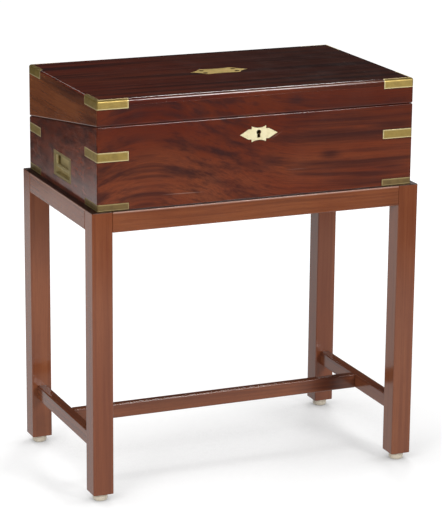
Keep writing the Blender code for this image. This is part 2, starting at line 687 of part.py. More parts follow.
def lock(brass, steel, base, bolt_pivot, lid):
    """Box lock in the front wall: case, sliding bolt, link plate and the shapes of their beds."""
    back = INSIDE_FRONT
    face = back - LOCK_DEPTH
    half = LOCK_WIDTH / 2
    rim = -SEAM_GAP / 2
    low = seam_z(back, rim) - LOCK_HEIGHT

    def top(x, y):
        return seam_z(y, rim)

    def ceiling(x, y):
        return seam_z(y, rim - LOCK_PLATE)

    case = solid("lock_case", prism(rectangle(-half, half, face, back), low, top), brass, base)
    room = rectangle(*span(0.0, half - LOCK_PLATE), face - CUT_MARGIN, back - LOCK_PLATE)
    combine(case, guide("lock_room", prism(room, low + LOCK_PLATE, ceiling)), "DIFFERENCE")

    # The staples hang square to the seam, in the middle of the room behind the wall's skin
    eye_y, eye_z = staple_eye()
    eye_drop = STAPLE_LENGTH - STAPLE_EYE
    behind = -(PIN_Y - eye_y - eye_drop * math.sin(SEAM_ANGLE)) / math.cos(SEAM_ANGLE)
    plate_low = SEAM_GAP / 2
    plate_half = LINK_PLATE_LENGTH / 2
    plate_high = plate_low + LOCK_PLATE
    plate_rear = seam_reach(plate_low, plate_high, FRONT, INSIDE_FRONT)[1]
    plate_front = plate_rear - LINK_PLATE_WIDTH
    plate = box(span(0.0, plate_half), (plate_front, plate_rear), (plate_low, plate_high))
    link = solid("link_plate", in_seam_frame(plate), brass, lid)
    staples = bmesh.new()
    eyes = bmesh.new()
    slots = bmesh.new()
    thick = STAPLE_THICKNESS / 2
    wide = STAPLE_WIDTH / 2
    eye = STAPLE_EYE / 2
    gap = 2 * RUNNING_FIT
    for sx in (-1, 1):
        x = sx * STAPLE_SPACING / 2
        box(span(x, thick), span(behind, wide), (-STAPLE_LENGTH, plate_low + LOCK_PLATE / 2), staples)
        box(span(x, thick + CUT_MARGIN), span(behind, eye), span(-eye_drop, eye), eyes)
        box(span(x, thick + gap), span(behind, wide + gap), (-STAPLE_LENGTH, CUT_MARGIN), slots)
    combine(link, guide("link_staples", in_seam_frame(staples)), "UNION")
    combine(link, guide("link_eyes", in_seam_frame(eyes)), "DIFFERENCE")
    combine(case, guide("lock_slots", in_seam_frame(slots)), "DIFFERENCE")

    # The bolt's fingers point at the eyes and pass through them when it slides
    bar_top = eye_z - STAPLE_LENGTH + eye_drop - eye - RUNNING_FIT
    finger = BOLT_FINGER / 2
    outline = []
    for sx in (-1, 1):
        tip = sx * STAPLE_SPACING / 2 - thick - RUNNING_FIT
        root = tip - BOLT_TRAVEL - RUNNING_FIT
        post = root - BOLT_POST
        outline += [(post, bar_top), (post, eye_z + finger), (tip, eye_z + finger)]
        outline += [(tip, eye_z - finger), (root, eye_z - finger), (root, bar_top)]
    bar_low = bar_top - BOLT_BAR_HEIGHT
    left = outline[0][0] - BOLT_POST
    right = outline[-1][0] + BOLT_POST
    outline += [(right, bar_top), (right, bar_low), (left, bar_low), (left, bar_top)]
    solid("lock_bolt", prism(outline, *span(eye_y, finger), "y"), steel, bolt_pivot)

    # Beds: the case lies in the wall from inside, the link plate in the lid's front rim
    bed = rectangle(*span(0.0, half + FIT), face - FIT, back + CUT_MARGIN)
    case_bed = guide("lock_bed", prism(bed, low - FIT, TOP))
    bed_reach = (plate_front - FIT, plate_rear + CUT_MARGIN)
    plate_bed = box(span(0.0, plate_half + FIT), bed_reach, (-CUT_MARGIN, plate_high + FIT))
    return case_bed, guide("link_bed", in_seam_frame(plate_bed))


def handle_axis(sx):
    """A point on the bail's axis, in the middle of the handle on one end."""
    depth = BAIL_SUNK + BAIL_THICKNESS / 2
    up = HANDLE_MIDDLE + PAN_HEIGHT / 2 - BAIL_HEADROOM
    return Vector((sx * (BOX_WIDTH / 2 - depth), (FRONT + REAR) / 2, BOTTOM + up))


def handle(sx, brass, base, bail_pivot):
    """Sunk handle on one end: plate with its pan, swinging bail, and the shape of its bed."""
    side = SIDE_NAMES[sx]
    axis = handle_axis(sx)
    middle_y = axis.y
    middle_z = BOTTOM + HANDLE_MIDDLE
    outer = BOX_WIDTH / 2

    def block(width, height, near, far):
        x = sorted((sx * (outer - near), sx * (outer - far)))
        return box(x, span(middle_y, width / 2), span(middle_z, height / 2))

    flange = block(HANDLE_PLATE_WIDTH, HANDLE_PLATE_HEIGHT, 0.0, HANDLE_PLATE_THICKNESS)
    plate = solid(f"handle_plate_{side}", flange, brass, base)
    pan = (PAN_WIDTH + 2 * PAN_WALL, PAN_HEIGHT + 2 * PAN_WALL)
    tub = block(*pan, HANDLE_PLATE_THICKNESS / 2, PAN_DEPTH + PAN_WALL)
    combine(plate, guide(f"handle_tub_{side}", tub), "UNION")
    hollow = block(PAN_WIDTH, PAN_HEIGHT, -CUT_MARGIN, PAN_DEPTH)
    combine(plate, guide(f"handle_hollow_{side}", hollow), "DIFFERENCE")
    reach = span(middle_y, PAN_WIDTH / 2 + BAIL_PIN_LENGTH + FIT)
    eye = cylinder("y", (axis.x, axis.z), BAIL_PIN_RADIUS + FIT, *reach, steps=SMALL_ROUND_STEPS)
    combine(plate, guide(f"handle_eyes_{side}", eye), "DIFFERENCE")

    half = PAN_WIDTH / 2 - RUNNING_FIT
    crown = BAIL_THICKNESS / 2
    foot = axis.z - BAIL_DROP
    curve = BAIL_CORNER_RADIUS
    inner_curve = max(curve - BAIL_BAR, LEAST_RADIUS)
    inner_corner = (half - BAIL_BAR - inner_curve, foot + BAIL_BAR + inner_curve)
    outer_arc = arc((half - curve, foot + curve), curve, -90.0, 0.0)
    inner_arc = arc(inner_corner, inner_curve, 0.0, -90.0)
    right = outer_arc + [(half, axis.z + crown), (half - BAIL_BAR, axis.z + crown)] + inner_arc
    outline = [(middle_y + a, b) for a, b in right] + [(middle_y - a, b) for a, b in reversed(right)]
    loop = prism(outline, *span(axis.x, crown), "x")
    rims = [edge for edge in loop.edges if edge.verts[0].co.x == edge.verts[1].co.x]
    bmesh.ops.bevel(loop, geom=rims, offset=BAIL_ROUND, segments=EDGE_STEPS, profile=0.5, affect="EDGES")
    bail = solid(f"handle_bail_{side}", loop, brass, bail_pivot)
    pins = bmesh.new()
    pin_root = half - BAIL_BAR / 2
    pin_end = PAN_WIDTH / 2 + BAIL_PIN_LENGTH - FIT
    for sy in (-1, 1):
        ends = sorted((middle_y + sy * pin_root, middle_y + sy * pin_end))
        cylinder("y", (axis.x, axis.z), BAIL_PIN_RADIUS, *ends, bm=pins, steps=SMALL_ROUND_STEPS)
    combine(bail, guide(f"handle_pins_{side}", pins), "UNION")

    bed = (HANDLE_PLATE_WIDTH + 2 * FIT, HANDLE_PLATE_HEIGHT + 2 * FIT)
    flange_bed = block(*bed, -CUT_MARGIN, HANDLE_PLATE_THICKNESS + FIT)
    pan_bed = block(pan[0] + 2 * FIT, pan[1] + 2 * FIT, 0.0, PAN_DEPTH + PAN_WALL + FIT)
    return guide(f"handle_flange_bed_{side}", flange_bed), guide(f"handle_pan_bed_{side}", pan_bed)


def pen_fittings(wood, base):
    """Partition with its shelf, and the pen tray that stands on the shelf."""
    half = BOX_WIDTH / 2 - WALL - FIT
    floor = BOTTOM + BOTTOM_THICKNESS + FIT
    shelf = BOTTOM + SHELF_TOP
    under_flap = -(SEAM_GAP / 2 + FLAP_RECESS + FLAP_THICKNESS + FIT)
    profile = [
        (INSIDE_FRONT + FIT, shelf - SHELF_THICKNESS),
        (PARTITION_FRONT, shelf - SHELF_THICKNESS),
        (PARTITION_FRONT, floor),
        (PARTITION_REAR, floor),
        (PARTITION_REAR, seam_z(PARTITION_REAR, under_flap)),
        (PARTITION_FRONT, seam_z(PARTITION_FRONT, under_flap)),
        (PARTITION_FRONT, shelf),
        (INSIDE_FRONT + FIT, shelf),
    ]
    solid("pen_partition", prism(profile, -half, half, "x"), wood, base)

    def tray_top(x, y):
        return seam_z(y, -TRAY_DROP)

    plan = rectangle(-half, half, INSIDE_FRONT + FIT, PARTITION_FRONT - FIT)
    tray = solid("pen_tray", prism(plan, shelf + FIT, tray_top), wood, base)
    hollows = bmesh.new()
    well = WELL_SIDE / 2
    for sx in (-1, 1):
        box(span(sx * WELL_X, well), span(TRAY_MIDDLE, well), (shelf - CUT_MARGIN, TOP), hollows)
    reach = WELL_X - well - WELL_BORDER
    brim = seam_z(TRAY_MIDDLE, -TRAY_DROP)
    wide = TROUGH_WIDTH / 2
    turns = [math.pi * i / TROUGH_STEPS for i in range(TROUGH_STEPS + 1)]
    trough = [(TRAY_MIDDLE - wide * math.cos(t), brim - TROUGH_DEPTH * math.sin(t)) for t in turns]
    trough += [(TRAY_MIDDLE + wide, TOP), (TRAY_MIDDLE - wide, TOP)]
    prism(trough, -reach, reach, "x", hollows)
    combine(tray, guide("tray_hollows", hollows), "DIFFERENCE")


def inkwell(sx, glass, brass, base, cap_pivot):
    """Square glass inkwell in its well, with a turning brass cap."""
    side = SIDE_NAMES[sx]
    x = sx * WELL_X
    y = TRAY_MIDDLE
    half = INKWELL_SIDE / 2
    foot = BOTTOM + SHELF_TOP + FIT
    shoulder = foot + INKWELL_BODY_HEIGHT
    brim = shoulder + INKWELL_NECK_HEIGHT
    plan = rounded_rectangle(*span(x, half), *span(y, half), INKWELL_CORNER_RADIUS)
    bottle = solid(f"inkwell_{side}", prism(plan, foot, shoulder), glass, base)
    neck = cylinder("z", (x, y), INKWELL_NECK_RADIUS, shoulder - INKWELL_FLOOR / 2, brim)
    combine(bottle, guide(f"inkwell_neck_{side}", neck), "UNION")
    bore = cylinder("z", (x, y), INKWELL_BORE_RADIUS, foot + INKWELL_FLOOR, brim + CUT_MARGIN)
    combine(bottle, guide(f"inkwell_bore_{side}", bore), "DIFFERENCE")

    inner = INKWELL_NECK_RADIUS + FIT
    outer = inner + CAP_WALL
    top = brim + FIT + CAP_CROWN
    skirt = shoulder + FIT
    edge = arc((outer - CAP_ROUND, top - CAP_ROUND), CAP_ROUND, 90.0, 0.0)
    hollow = [(inner, skirt), (inner, brim + FIT), (0.0, brim + FIT)]
    profile = [(0.0, top)] + edge + [(outer, skirt)] + hollow
    smooth(solid(f"inkwell_cap_{side}", lathe(profile, (x, y)), brass, cap_pivot))


def cartouche(top, middle_y, brass, lid):
    """Pierced brass plate let into the middle of the lid's top."""
    levels = (TOP - BRASS, TOP)
    sheet = prism(moved(cartouche_outline(), 0.0, middle_y), *levels)
    plate = solid("lid_cartouche", sheet, brass, lid)
    holes = bmesh.new()
    through = (TOP - BRASS - CUT_MARGIN, TOP + CUT_MARGIN)
    for sx, sy in CORNERS:
        place = (sx * CARTOUCHE_PIERCING_SPAN / 2, middle_y + sy * CARTOUCHE_PIERCING_HEIGHT / 2)
        cylinder("z", place, CARTOUCHE_PIERCING_RADIUS, *through, holes, SMALL_ROUND_STEPS)
    combine(plate, guide("cartouche_piercings", holes), "DIFFERENCE")
    outline = moved(cartouche_outline(FIT), 0.0, middle_y)
    bed = prism(outline, TOP - BRASS - FIT, TOP + CUT_MARGIN)
    combine(top, guide("cartouche_bed", bed), "DIFFERENCE")


def escutcheon(front_wall, brass, base):
    """Brass keyhole plate let into the front, with the keyhole running through to the lock."""
    middle_z = BOTTOM + ESCUTCHEON_MIDDLE
    sheet = prism(moved(escutcheon_outline(), 0.0, middle_z), FRONT, FRONT + BRASS, "y")
    plate = solid("escutcheon", sheet, brass, base)
    outline = moved(escutcheon_outline(FIT), 0.0, middle_z)
    bed = prism(outline, FRONT - CUT_MARGIN, FRONT + BRASS + FIT, "y")
    combine(front_wall, guide("escutcheon_bed", bed), "DIFFERENCE")
    keyhole = moved(keyhole_outline(), 0.0, middle_z)
    tunnel = prism(keyhole, FRONT - CUT_MARGIN, INSIDE_FRONT - LOCK_DEPTH + FIT, "y")
    tunnel_guide = guide("keyhole", tunnel)
    combine(plate, tunnel_guide, "DIFFERENCE")
    combine(front_wall, tunnel_guide, "DIFFERENCE")


def desk(stand_carrier, finishes):
    """The lap desk: base, lid and all that is let into them."""
    wood = finishes["mahogany"]
    brass = finishes["brass"]
    base = pivot("desk_base", (0.0, (FRONT + REAR) / 2, BOTTOM), stand_carrier)
    lid = pivot("lid_pivot", (0.0, PIN_Y, PIN_Z), base)
    leather = finishes["leather"]
    bolt = pivot("bolt_slide", (0.0, *staple_eye()), base)

    pockets = corner_brasses(brass, base, lid)
    leaf_beds, knuckle_beds = hinges(brass, base, lid)
    lock_bed, link_bed = lock(brass, finishes["steel"], base, bolt, lid)
    flap_front = (PARTITION_FRONT + PARTITION_REAR) / 2
    base_rebates = writing_flap("base", -1, flap_front, wood, leather, base)
    lid_rebates = writing_flap("lid", 1, INSIDE_FRONT, wood, leather, lid)

    base_walls = {}
    lid_walls = {}
    for name in WALL_NAMES:
        base_walls[name] = solid(f"base_{name}", desk_wall(name, -1), wood, base)
        lid_walls[name] = solid(f"lid_{name}", desk_wall(name, 1), wood, lid)
        for wall in (base_walls[name], lid_walls[name]):
            combine(wall, pockets, "DIFFERENCE")
    for walls, rebates in ((base_walls, base_rebates), (lid_walls, lid_rebates)):
        combine(walls["left_end"], rebates, "DIFFERENCE")
        combine(walls["right_end"], rebates, "DIFFERENCE")
        combine(walls["rear"], leaf_beds, "DIFFERENCE")
        combine(walls["rear"], knuckle_beds, "DIFFERENCE")
    combine(base_walls["front"], lock_bed, "DIFFERENCE")
    combine(lid_walls["front"], link_bed, "DIFFERENCE")

    middle_y = (FRONT + REAR) / 2
    inside_x = span(0.0, BOX_WIDTH / 2 - WALL - FIT)
    inside_y = span(middle_y, BOX_DEPTH / 2 - WALL - FIT)
    floor = box(inside_x, inside_y, (BOTTOM, BOTTOM + BOTTOM_THICKNESS))
    solid("base_bottom", floor, wood, base)

    top = solid("lid_top", desk_form(0.0), wood, lid)
    past_x = span(0.0, BOX_WIDTH / 2 + CUT_MARGIN)
    past_y = span(middle_y, BOX_DEPTH / 2 + CUT_MARGIN)
    below = box(past_x, past_y, (BOTTOM - CUT_MARGIN, TOP - LID_TOP_THICKNESS))
    combine(top, guide("lid_top_underside", below), "DIFFERENCE")
    combine(top, pockets, "DIFFERENCE")
    cartouche(top, middle_y, brass, lid)
    escutcheon(base_walls["front"], brass, base)

    for sx in (-1, 1):
        bail = pivot(f"bail_pivot_{SIDE_NAMES[sx]}", handle_axis(sx), base)
        for bed_shape in handle(sx, brass, base, bail):
            combine(base_walls[f"{SIDE_NAMES[sx]}_end"], bed_shape, "DIFFERENCE")

    pen_fittings(wood, base)
    for sx in (-1, 1):
        cap = pivot(f"cap_pivot_{SIDE_NAMES[sx]}", (sx * WELL_X, TRAY_MIDDLE, BOTTOM + SHELF_TOP), base)
        inkwell(sx, finishes["glass"], brass, base, cap)


def main():
    """Build the stand and the desk that rests on it."""
    clear_scene()
    finishes = {
        "mahogany": finish("mahogany_desk", (0.150, 0.032, 0.018), 0.28),
        "stand": finish("mahogany_stand", (0.190, 0.055, 0.030), 0.32),
        "brass": finish("brass", (0.480, 0.350, 0.110), 0.32, 1.0),
        "steel": finish("steel", (0.300, 0.300, 0.290), 0.40, 1.0),
        "leather": finish("leather", (0.045, 0.070, 0.035), 0.55),
        "glass": finish("glass", (0.800, 0.850, 0.830), 0.05, 0.0, 0.9),
        "glide": finish("glide_plastic", (0.750, 0.690, 0.580), 0.45),
    }
    carrier = stand(finishes["stand"], finishes["glide"])
    desk(carrier, finishes)


main()
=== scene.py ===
"""A brass-bound mahogany lap desk on its square-legged stand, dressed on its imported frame.

Everything is in metres in the frame's own axes: +Z up, the desk's front towards -Y.
"""

import logging
import math
from collections.abc import Callable, Sequence
from dataclasses import dataclass, replace
from enum import Enum
from typing import Any, Union

import bmesh
import bpy
import numpy as np
from mathutils import Matrix, Vector


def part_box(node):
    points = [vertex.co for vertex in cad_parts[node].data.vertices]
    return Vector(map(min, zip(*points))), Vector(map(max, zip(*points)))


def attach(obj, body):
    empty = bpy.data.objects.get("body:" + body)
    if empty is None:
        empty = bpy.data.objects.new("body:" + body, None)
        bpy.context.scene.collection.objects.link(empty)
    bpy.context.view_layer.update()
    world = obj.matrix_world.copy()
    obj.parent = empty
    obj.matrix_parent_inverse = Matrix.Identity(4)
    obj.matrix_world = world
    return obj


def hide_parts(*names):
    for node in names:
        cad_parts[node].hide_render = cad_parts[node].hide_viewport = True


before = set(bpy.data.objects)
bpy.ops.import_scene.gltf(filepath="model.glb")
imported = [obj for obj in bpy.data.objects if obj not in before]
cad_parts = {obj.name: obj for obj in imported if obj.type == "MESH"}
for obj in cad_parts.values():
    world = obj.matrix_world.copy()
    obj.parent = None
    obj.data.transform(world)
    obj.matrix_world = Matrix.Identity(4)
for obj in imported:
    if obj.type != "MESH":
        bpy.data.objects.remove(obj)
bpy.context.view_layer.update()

LOG = logging.getLogger("lap_desk")
PHOTO_SIZE = (442, 532)

Array = np.ndarray
Pair = tuple[float, float]
Triple = tuple[float, float, float]
Shift = Callable[[Array], Array]
Material = bpy.types.Material
Piece = bpy.types.Object
Operand = Union["Value", float]

SIDES = ("left", "right")
CORNERS = [f"{end}_{side}" for end in ("front", "rear") for side in SIDES]
QUARTERS = ((-1, -1), (1, -1), (-1, 1), (1, 1))
QUARTER_TURN = math.pi / 2
FULL_TURN = 2 * math.pi
SAME_POINT = 2e-6
FLAT_ANGLE = math.radians(0.5)
SHARP_DEGREES = 40.0
EASED_ANGLE = math.radians(50.0)
LEAST_RADIUS = 1e-4


class Grain(Enum):
    """The axis that a board's fibres run along."""

    ALONG_X = 0
    ALONG_Y = 1
    ALONG_Z = 2

    def stretch(self, along: float, across: float) -> Triple:
        """Texture scale for each axis, from cycles for each metre along and across the fibres."""
        return tuple(along if axis == self.value else across for axis in range(3))


class Body(Enum):
    """The moving bodies that pieces ride on."""

    STAND = "stand"
    DESK = "desk"
    LID = "lid"
    BOLT = "bolt"
    BAIL_LEFT = "bail_left"
    BAIL_RIGHT = "bail_right"
    CAP_LEFT = "cap_left"
    CAP_RIGHT = "cap_right"


class Slot(Enum):
    """The record's material slots."""

    DESK_WOOD = "mahogany_desk"
    STAND_WOOD = "mahogany_stand"
    BRASS = "brass"
    STEEL = "lock_steel"
    LEATHER = "leather"
    GLASS = "glass"
    PLASTIC = "glide_plastic"


def operator(operation: str, swapped: bool = False) -> Callable[["Value", Operand], "Value"]:
    """Make a method of Value that adds one Math node.

    Args:
        operation: the node's operation.
        swapped: whether the other operand comes first.

    Returns:
        The method.
    """

    def apply(value: "Value", other: Operand) -> "Value":
        """Add the node on a value and another operand."""
        return value.maths(operation, *((other, value) if swapped else (value, other)))

    return apply


class Value:
    """A socket's output in a shader, with arithmetic that adds Math nodes."""

    def __init__(self, graph: "Graph", socket: bpy.types.NodeSocket) -> None:
        """Hold a socket and the graph that new nodes go into."""
        self.graph = graph
        self.socket = socket

    def maths(self, operation: str, *operands: Operand) -> "Value":
        """Add one Math node on the operands, in order."""
        return self.graph.node("Math", {"operation": operation}, dict(enumerate(operands)))

    __add__, __radd__ = operator("ADD"), operator("ADD", True)
    __sub__, __rsub__ = operator("SUBTRACT"), operator("SUBTRACT", True)
    __mul__, __rmul__ = operator("MULTIPLY"), operator("MULTIPLY", True)
    __truediv__, __rtruediv__ = operator("DIVIDE"), operator("DIVIDE", True)
    __pow__, __rpow__ = operator("POWER"), operator("POWER", True)
    least, most = operator("MINIMUM"), operator("MAXIMUM")

    def __neg__(self) -> "Value":
        """Opposite."""
        return self * -1.0

    def __abs__(self) -> "Value":
        """Size without its sign."""
        return self.maths("ABSOLUTE", self)

    def sine(self) -> "Value":
        """Sine of the value in radians."""
        return self.maths("SINE", self)

    def step(self, low: float, high: float) -> "Value":
        """Smooth step from 0 at the first level to 1 at the second, which may be the lower number."""
        levels = {0: self, 1: low, 2: high, 3: 0.0, 4: 1.0}
        return self.graph.node("MapRange", {"interpolation_type": "SMOOTHSTEP"}, levels)


class Graph:
    """The node tree of one material or world."""

    def __init__(self, tree: bpy.types.NodeTree) -> None:
        """Empty a node tree and take charge of it."""
        tree.nodes.clear()
        self.tree = tree

    def node(self, kind: str, settings: dict[str, Any], inputs: dict[Any, Any], output: Any = 0) -> Value:
        """Add a node, set it up, then fill or link its sockets.

        Args:
            kind: the node's type, as it follows ShaderNode.
            settings: its properties, set first.
            inputs: a number, colour or Value for each socket, by index or name.
            output: the index or name of the socket to return.

        Returns:
            The chosen output.
        """
        node = self.tree.nodes.new(f"ShaderNode{kind}")
        for name, setting in settings.items():
            setattr(node, name, setting)
        for key, given in inputs.items():
            if isinstance(given, Value):
                self.tree.links.new(given.socket, node.inputs[key])
            else:
                node.inputs[key].default_value = given
        return Value(self, node.outputs[output])

    def coordinates(self, output: str = "Object") -> Value:
        """Place on the surface, from the object or its UV map."""
        return self.node("TexCoord", {}, {}, output)

    def axes(self, vector: Value) -> list[Value]:
        """The three parts of a place."""
        split = self.node("SeparateXYZ", {}, {0: vector}).socket.node
        return [Value(self, output) for output in split.outputs]

    def noise(
        self, place: Value, scale: float | Triple, detail: float = 3.0, rough: float = 0.55
    ) -> Value:
        """Cloudy noise from 0 to 1.

        Args:
            place: where it is looked up.
            scale: cycles for each metre, on all axes or on each.
            detail: how many finer layers are added.
            rough: how strong the finer layers are.

        Returns:
            The noise.
        """
        sizes = scale if isinstance(scale, tuple) else (scale, scale, scale)
        spread = self.node("Mapping", {}, {"Vector": place, "Scale": sizes})
        inputs = {"Vector": spread, "Scale": 1.0, "Detail": detail, "Roughness": rough}
        return self.node("TexNoise", {}, inputs, "Fac")

    def mix(self, factor: Operand, first: Any, second: Any, blend: str = "MIX") -> Value:
        """Mix two colours.

        Args:
            factor: 0 for the first, 1 for the second.
            first: a colour or a Value.
            second: a colour or a Value.
            blend: the way to mix.

        Returns:
            The mixed colour.
        """
        settings = {"data_type": "RGBA", "blend_type": blend, "clamp_factor": True}
        pair = [colour if isinstance(colour, Value) else (*colour, 1.0) for colour in (first, second)]
        return self.node("Mix", settings, {0: factor, 6: pair[0], 7: pair[1]}, 2)

    def bump(self, height: Value, strength: float, distance: float) -> Value:
        """A surface normal from a height, whose 1 stands out by a distance in metres."""
        return self.node("Bump", {}, {"Height": height, "Strength": strength, "Distance": distance})

    def rays(self) -> tuple[Value, Value]:
        """Tell the rays that look at a surface from those that mirror it.

        Returns:
            A mask of the rays from the eye, also through glass, and one of the mirrored rays.
        """
        outputs = self.node("LightPath", {}, {}).socket.node.outputs
        kinds = ("Camera", "Transmission", "Glossy")
        straight, through, mirrored = (Value(self, outputs[f"Is {kind} Ray"]) for kind in kinds)
        return straight.most(through), mirrored

    def surface(self, inputs: dict[str, Any]) -> None:
        """Close the tree with one Principled shader, from its sockets by name."""
        self.close(self.node("BsdfPrincipled", {}, inputs))

    def close(self, shader: Value, kind: str = "ShaderNodeOutputMaterial") -> None:
        """Link a shader to the tree's output."""
        output = self.tree.nodes.new(kind)
        self.tree.links.new(shader.socket, output.inputs["Surface"])


@dataclass(frozen=True)
class Finish:
    """A named finish, whose fill method makes the nodes of its material."""

    name: str

    def material(self) -> Material:
        """Make the material.

        Returns:
            The material with its nodes.
        """
        material = bpy.data.materials.new(self.name)
        material.use_nodes = True
        self.fill(Graph(material.node_tree))
        return material

    def fill(self, graph: Graph) -> None:
        """Make the nodes in the material's empty graph."""
        raise NotImplementedError


@dataclass(frozen=True)
class Mark:
    """A mark on an upright face: middle along the grain and in height, half sizes, strength, tilt."""

    along: float
    z: float
    length: float
    height: float
    depth: float
    tilt: float = 0.0


def marks(*rows: Sequence[float]) -> tuple[Mark, ...]:
    """Marks from rows of their fields."""
    return tuple(Mark(*row) for row in rows)


@dataclass(frozen=True)
class Shade:
    """A slow darkening along one axis, from none at one place to a full tint and less gloss at another."""

    axis: int
    start: float
    stop: float
    tint: Triple
    matt: float = 0.0

    def reach(self, parts: Sequence[Value]) -> Value:
        """How much of the tint shows, from the parts of a place."""
        return parts[self.axis].step(self.start, self.stop)


@dataclass(frozen=True)
class Mahogany(Finish):
    """Mahogany under a French polish: smoky bands, streaks, fibres, pores, and some painted shade and
    highlights.
    """

    heart: Triple
    dark: Triple
    glow: Triple
    bands: float
    streaks: float
    flame: float
    gloss: Pair
    rings: float = 0.08
    smoke_and_shade: tuple[Mark, ...] = ()
    scratches_and_highlights: tuple[Mark, ...] = ()
    shades: tuple[Shade, ...] = ()
    dust: float = 0.0
    ripple: float = 1.0
    blotch: float = 0.0
    pale: Triple = (0.30, 0.19, 0.15)
    sway: float = 0.016
    flame_middle: float = -0.175
    flame_width: float = 0.14
    endless: float = 1e3
    soft_edge: Pair = (1.7, 0.1)
    grain: Grain = Grain.ALONG_X

    def cut(self, grain: Grain) -> Material:
        """The material for boards whose fibres run along one axis."""
        return replace(self, name=f"{self.name}_{grain.name.lower()}", grain=grain).material()

    def fill(self, graph: Graph) -> None:
        """Lay the figure on in layers, and on some woods painted shade and painted highlights.

        The place is first bent across the grain, by slow noise and by the flame's arch. Growth rings
        are sines of the bent place across the grain.

        Args:
            graph: the material's empty graph.
        """
        axis, stretch = self.grain.value, self.grain.stretch
        place = graph.coordinates()
        parts = graph.axes(place)
        sway = graph.noise(place, stretch(2.2, 7.0), 2.0) - 0.5
        shift = self._lift(parts[axis]) + sway * self.sway
        across_grain = {other: 0.0 if other == axis else shift for other in range(3)}
        shifts = graph.node("CombineXYZ", {}, across_grain)
        bent = graph.node("VectorMath", {"operation": "ADD"}, {0: place, 1: shifts})

        def layer(along: float, across: float, detail: float) -> Value:
            """Noise in the bent place, stretched along the grain."""
            return graph.noise(bent, stretch(along, across), detail)

        bands = layer(2.0, 52.0, 3.0).step(0.46, 0.72) * self.bands
        feather = layer(2.6, 170.0, 3.0)
        streaks = feather.step(0.46, 0.70) * self.streaks
        torn = feather.step(0.34, 0.60) * 0.35 + 0.65
        fibres = layer(14.0, 620.0, 2.0)
        pores = layer(75.0, 1900.0, 1.0).step(0.60, 0.72)
        mottle = layer(4.0, 12.0, 3.0).step(0.32, 0.70)
        growth = sum(part for other, part in enumerate(graph.axes(bent)) if other != axis)
        rings = (growth * 1450.0 + layer(2.5, 36.0, 2.0) * 60.0).sine().step(-0.3, 1.0)
        rings = rings * layer(5.0, 22.0, 2.0).step(0.36, 0.62) * self.rings
        # Smoke marks: figure on the veneers, partly painted shade on the lid ends, painted shade on the
        # stand's rails.
        for mark in self.smoke_and_shade:
            bands = bands.most(self._mark(graph, bent, mark, self._lift(mark.along)) * torn)
        colour = graph.mix(mottle, self.heart, self.glow)
        low, high = self.gloss
        rough = graph.noise(place, 30.0, 5.0, 0.6).step(0.2, 0.8) * (high - low) + low
        for shade in self.shades:
            reach = shade.reach(parts)
            colour = graph.mix(reach, colour, shade.tint, "MULTIPLY")
            rough = rough + reach * shade.matt
        for amount in (bands, streaks, rings, fibres.step(0.35, 0.8) * 0.22, pores * 0.30):
            colour = graph.mix(amount, colour, self.dark)
        # Pale marks: real scratches, but along the lid top's front arris and the rails' top edge they are
        # painted highlights.
        for mark in self.scratches_and_highlights:
            colour = graph.mix(self._mark(graph, place, mark), colour, self.pale)
        if self.dust:
            specks = graph.noise(place, 240.0, 1.0).step(0.72, 0.80)
            colour = graph.mix(specks * self.dust, colour, self.pale)
        ripple = graph.noise(place, stretch(9.0, 16.0), 1.0)
        relief = fibres * 0.06 + ripple * self.ripple - pores * 0.08
        if self.blotch:
            worn = graph.noise(place, stretch(34.0, 90.0), 4.0, 0.65)
            colour = graph.mix(worn.step(0.42, 0.66) * self.blotch, colour, self.dark)
            relief = relief + worn * self.blotch * 0.8
        normal = graph.bump(relief, 0.35, 0.0006)
        graph.surface({"Base Color": colour, "Roughness": rough, "IOR": 1.5, "Normal": normal})

    def _lift(self, along: Any) -> Any:
        """The flame's arch, flame * (1 - e^-t^2), for a number or a Value along the grain."""
        run = (along - self.flame_middle) / self.flame_width
        return self.flame * (1.0 - math.e ** (-(run * run)))

    def _mark(self, graph: Graph, place: Value, mark: Mark, lift: float = 0.0) -> Value:
        """One mark's mask: its depth times a smooth step of the distance in a tilted ellipse.

        Args:
            graph: the material's graph.
            place: the place that the mark is drawn in, bent or not.
            mark: the mark.
            lift: what is added to its height, where the place is bent.

        Returns:
            The mask.
        """
        axis, face = self.grain.value, 1 if self.grain is Grain.ALONG_X else 0
        middle, turn = [0.0, 0.0, mark.z + lift], [0.0, 0.0, 0.0]
        size = [self.endless, self.endless, mark.height]
        middle[axis], size[axis], turn[face] = mark.along, mark.length, mark.tilt
        inputs = {"Vector": place, "Location": middle, "Rotation": turn, "Scale": size}
        local = graph.node("Mapping", {"vector_type": "TEXTURE"}, inputs)
        away = graph.node("VectorMath", {"operation": "LENGTH"}, {0: local}, "Value")
        return away.step(*self.soft_edge) * mark.depth


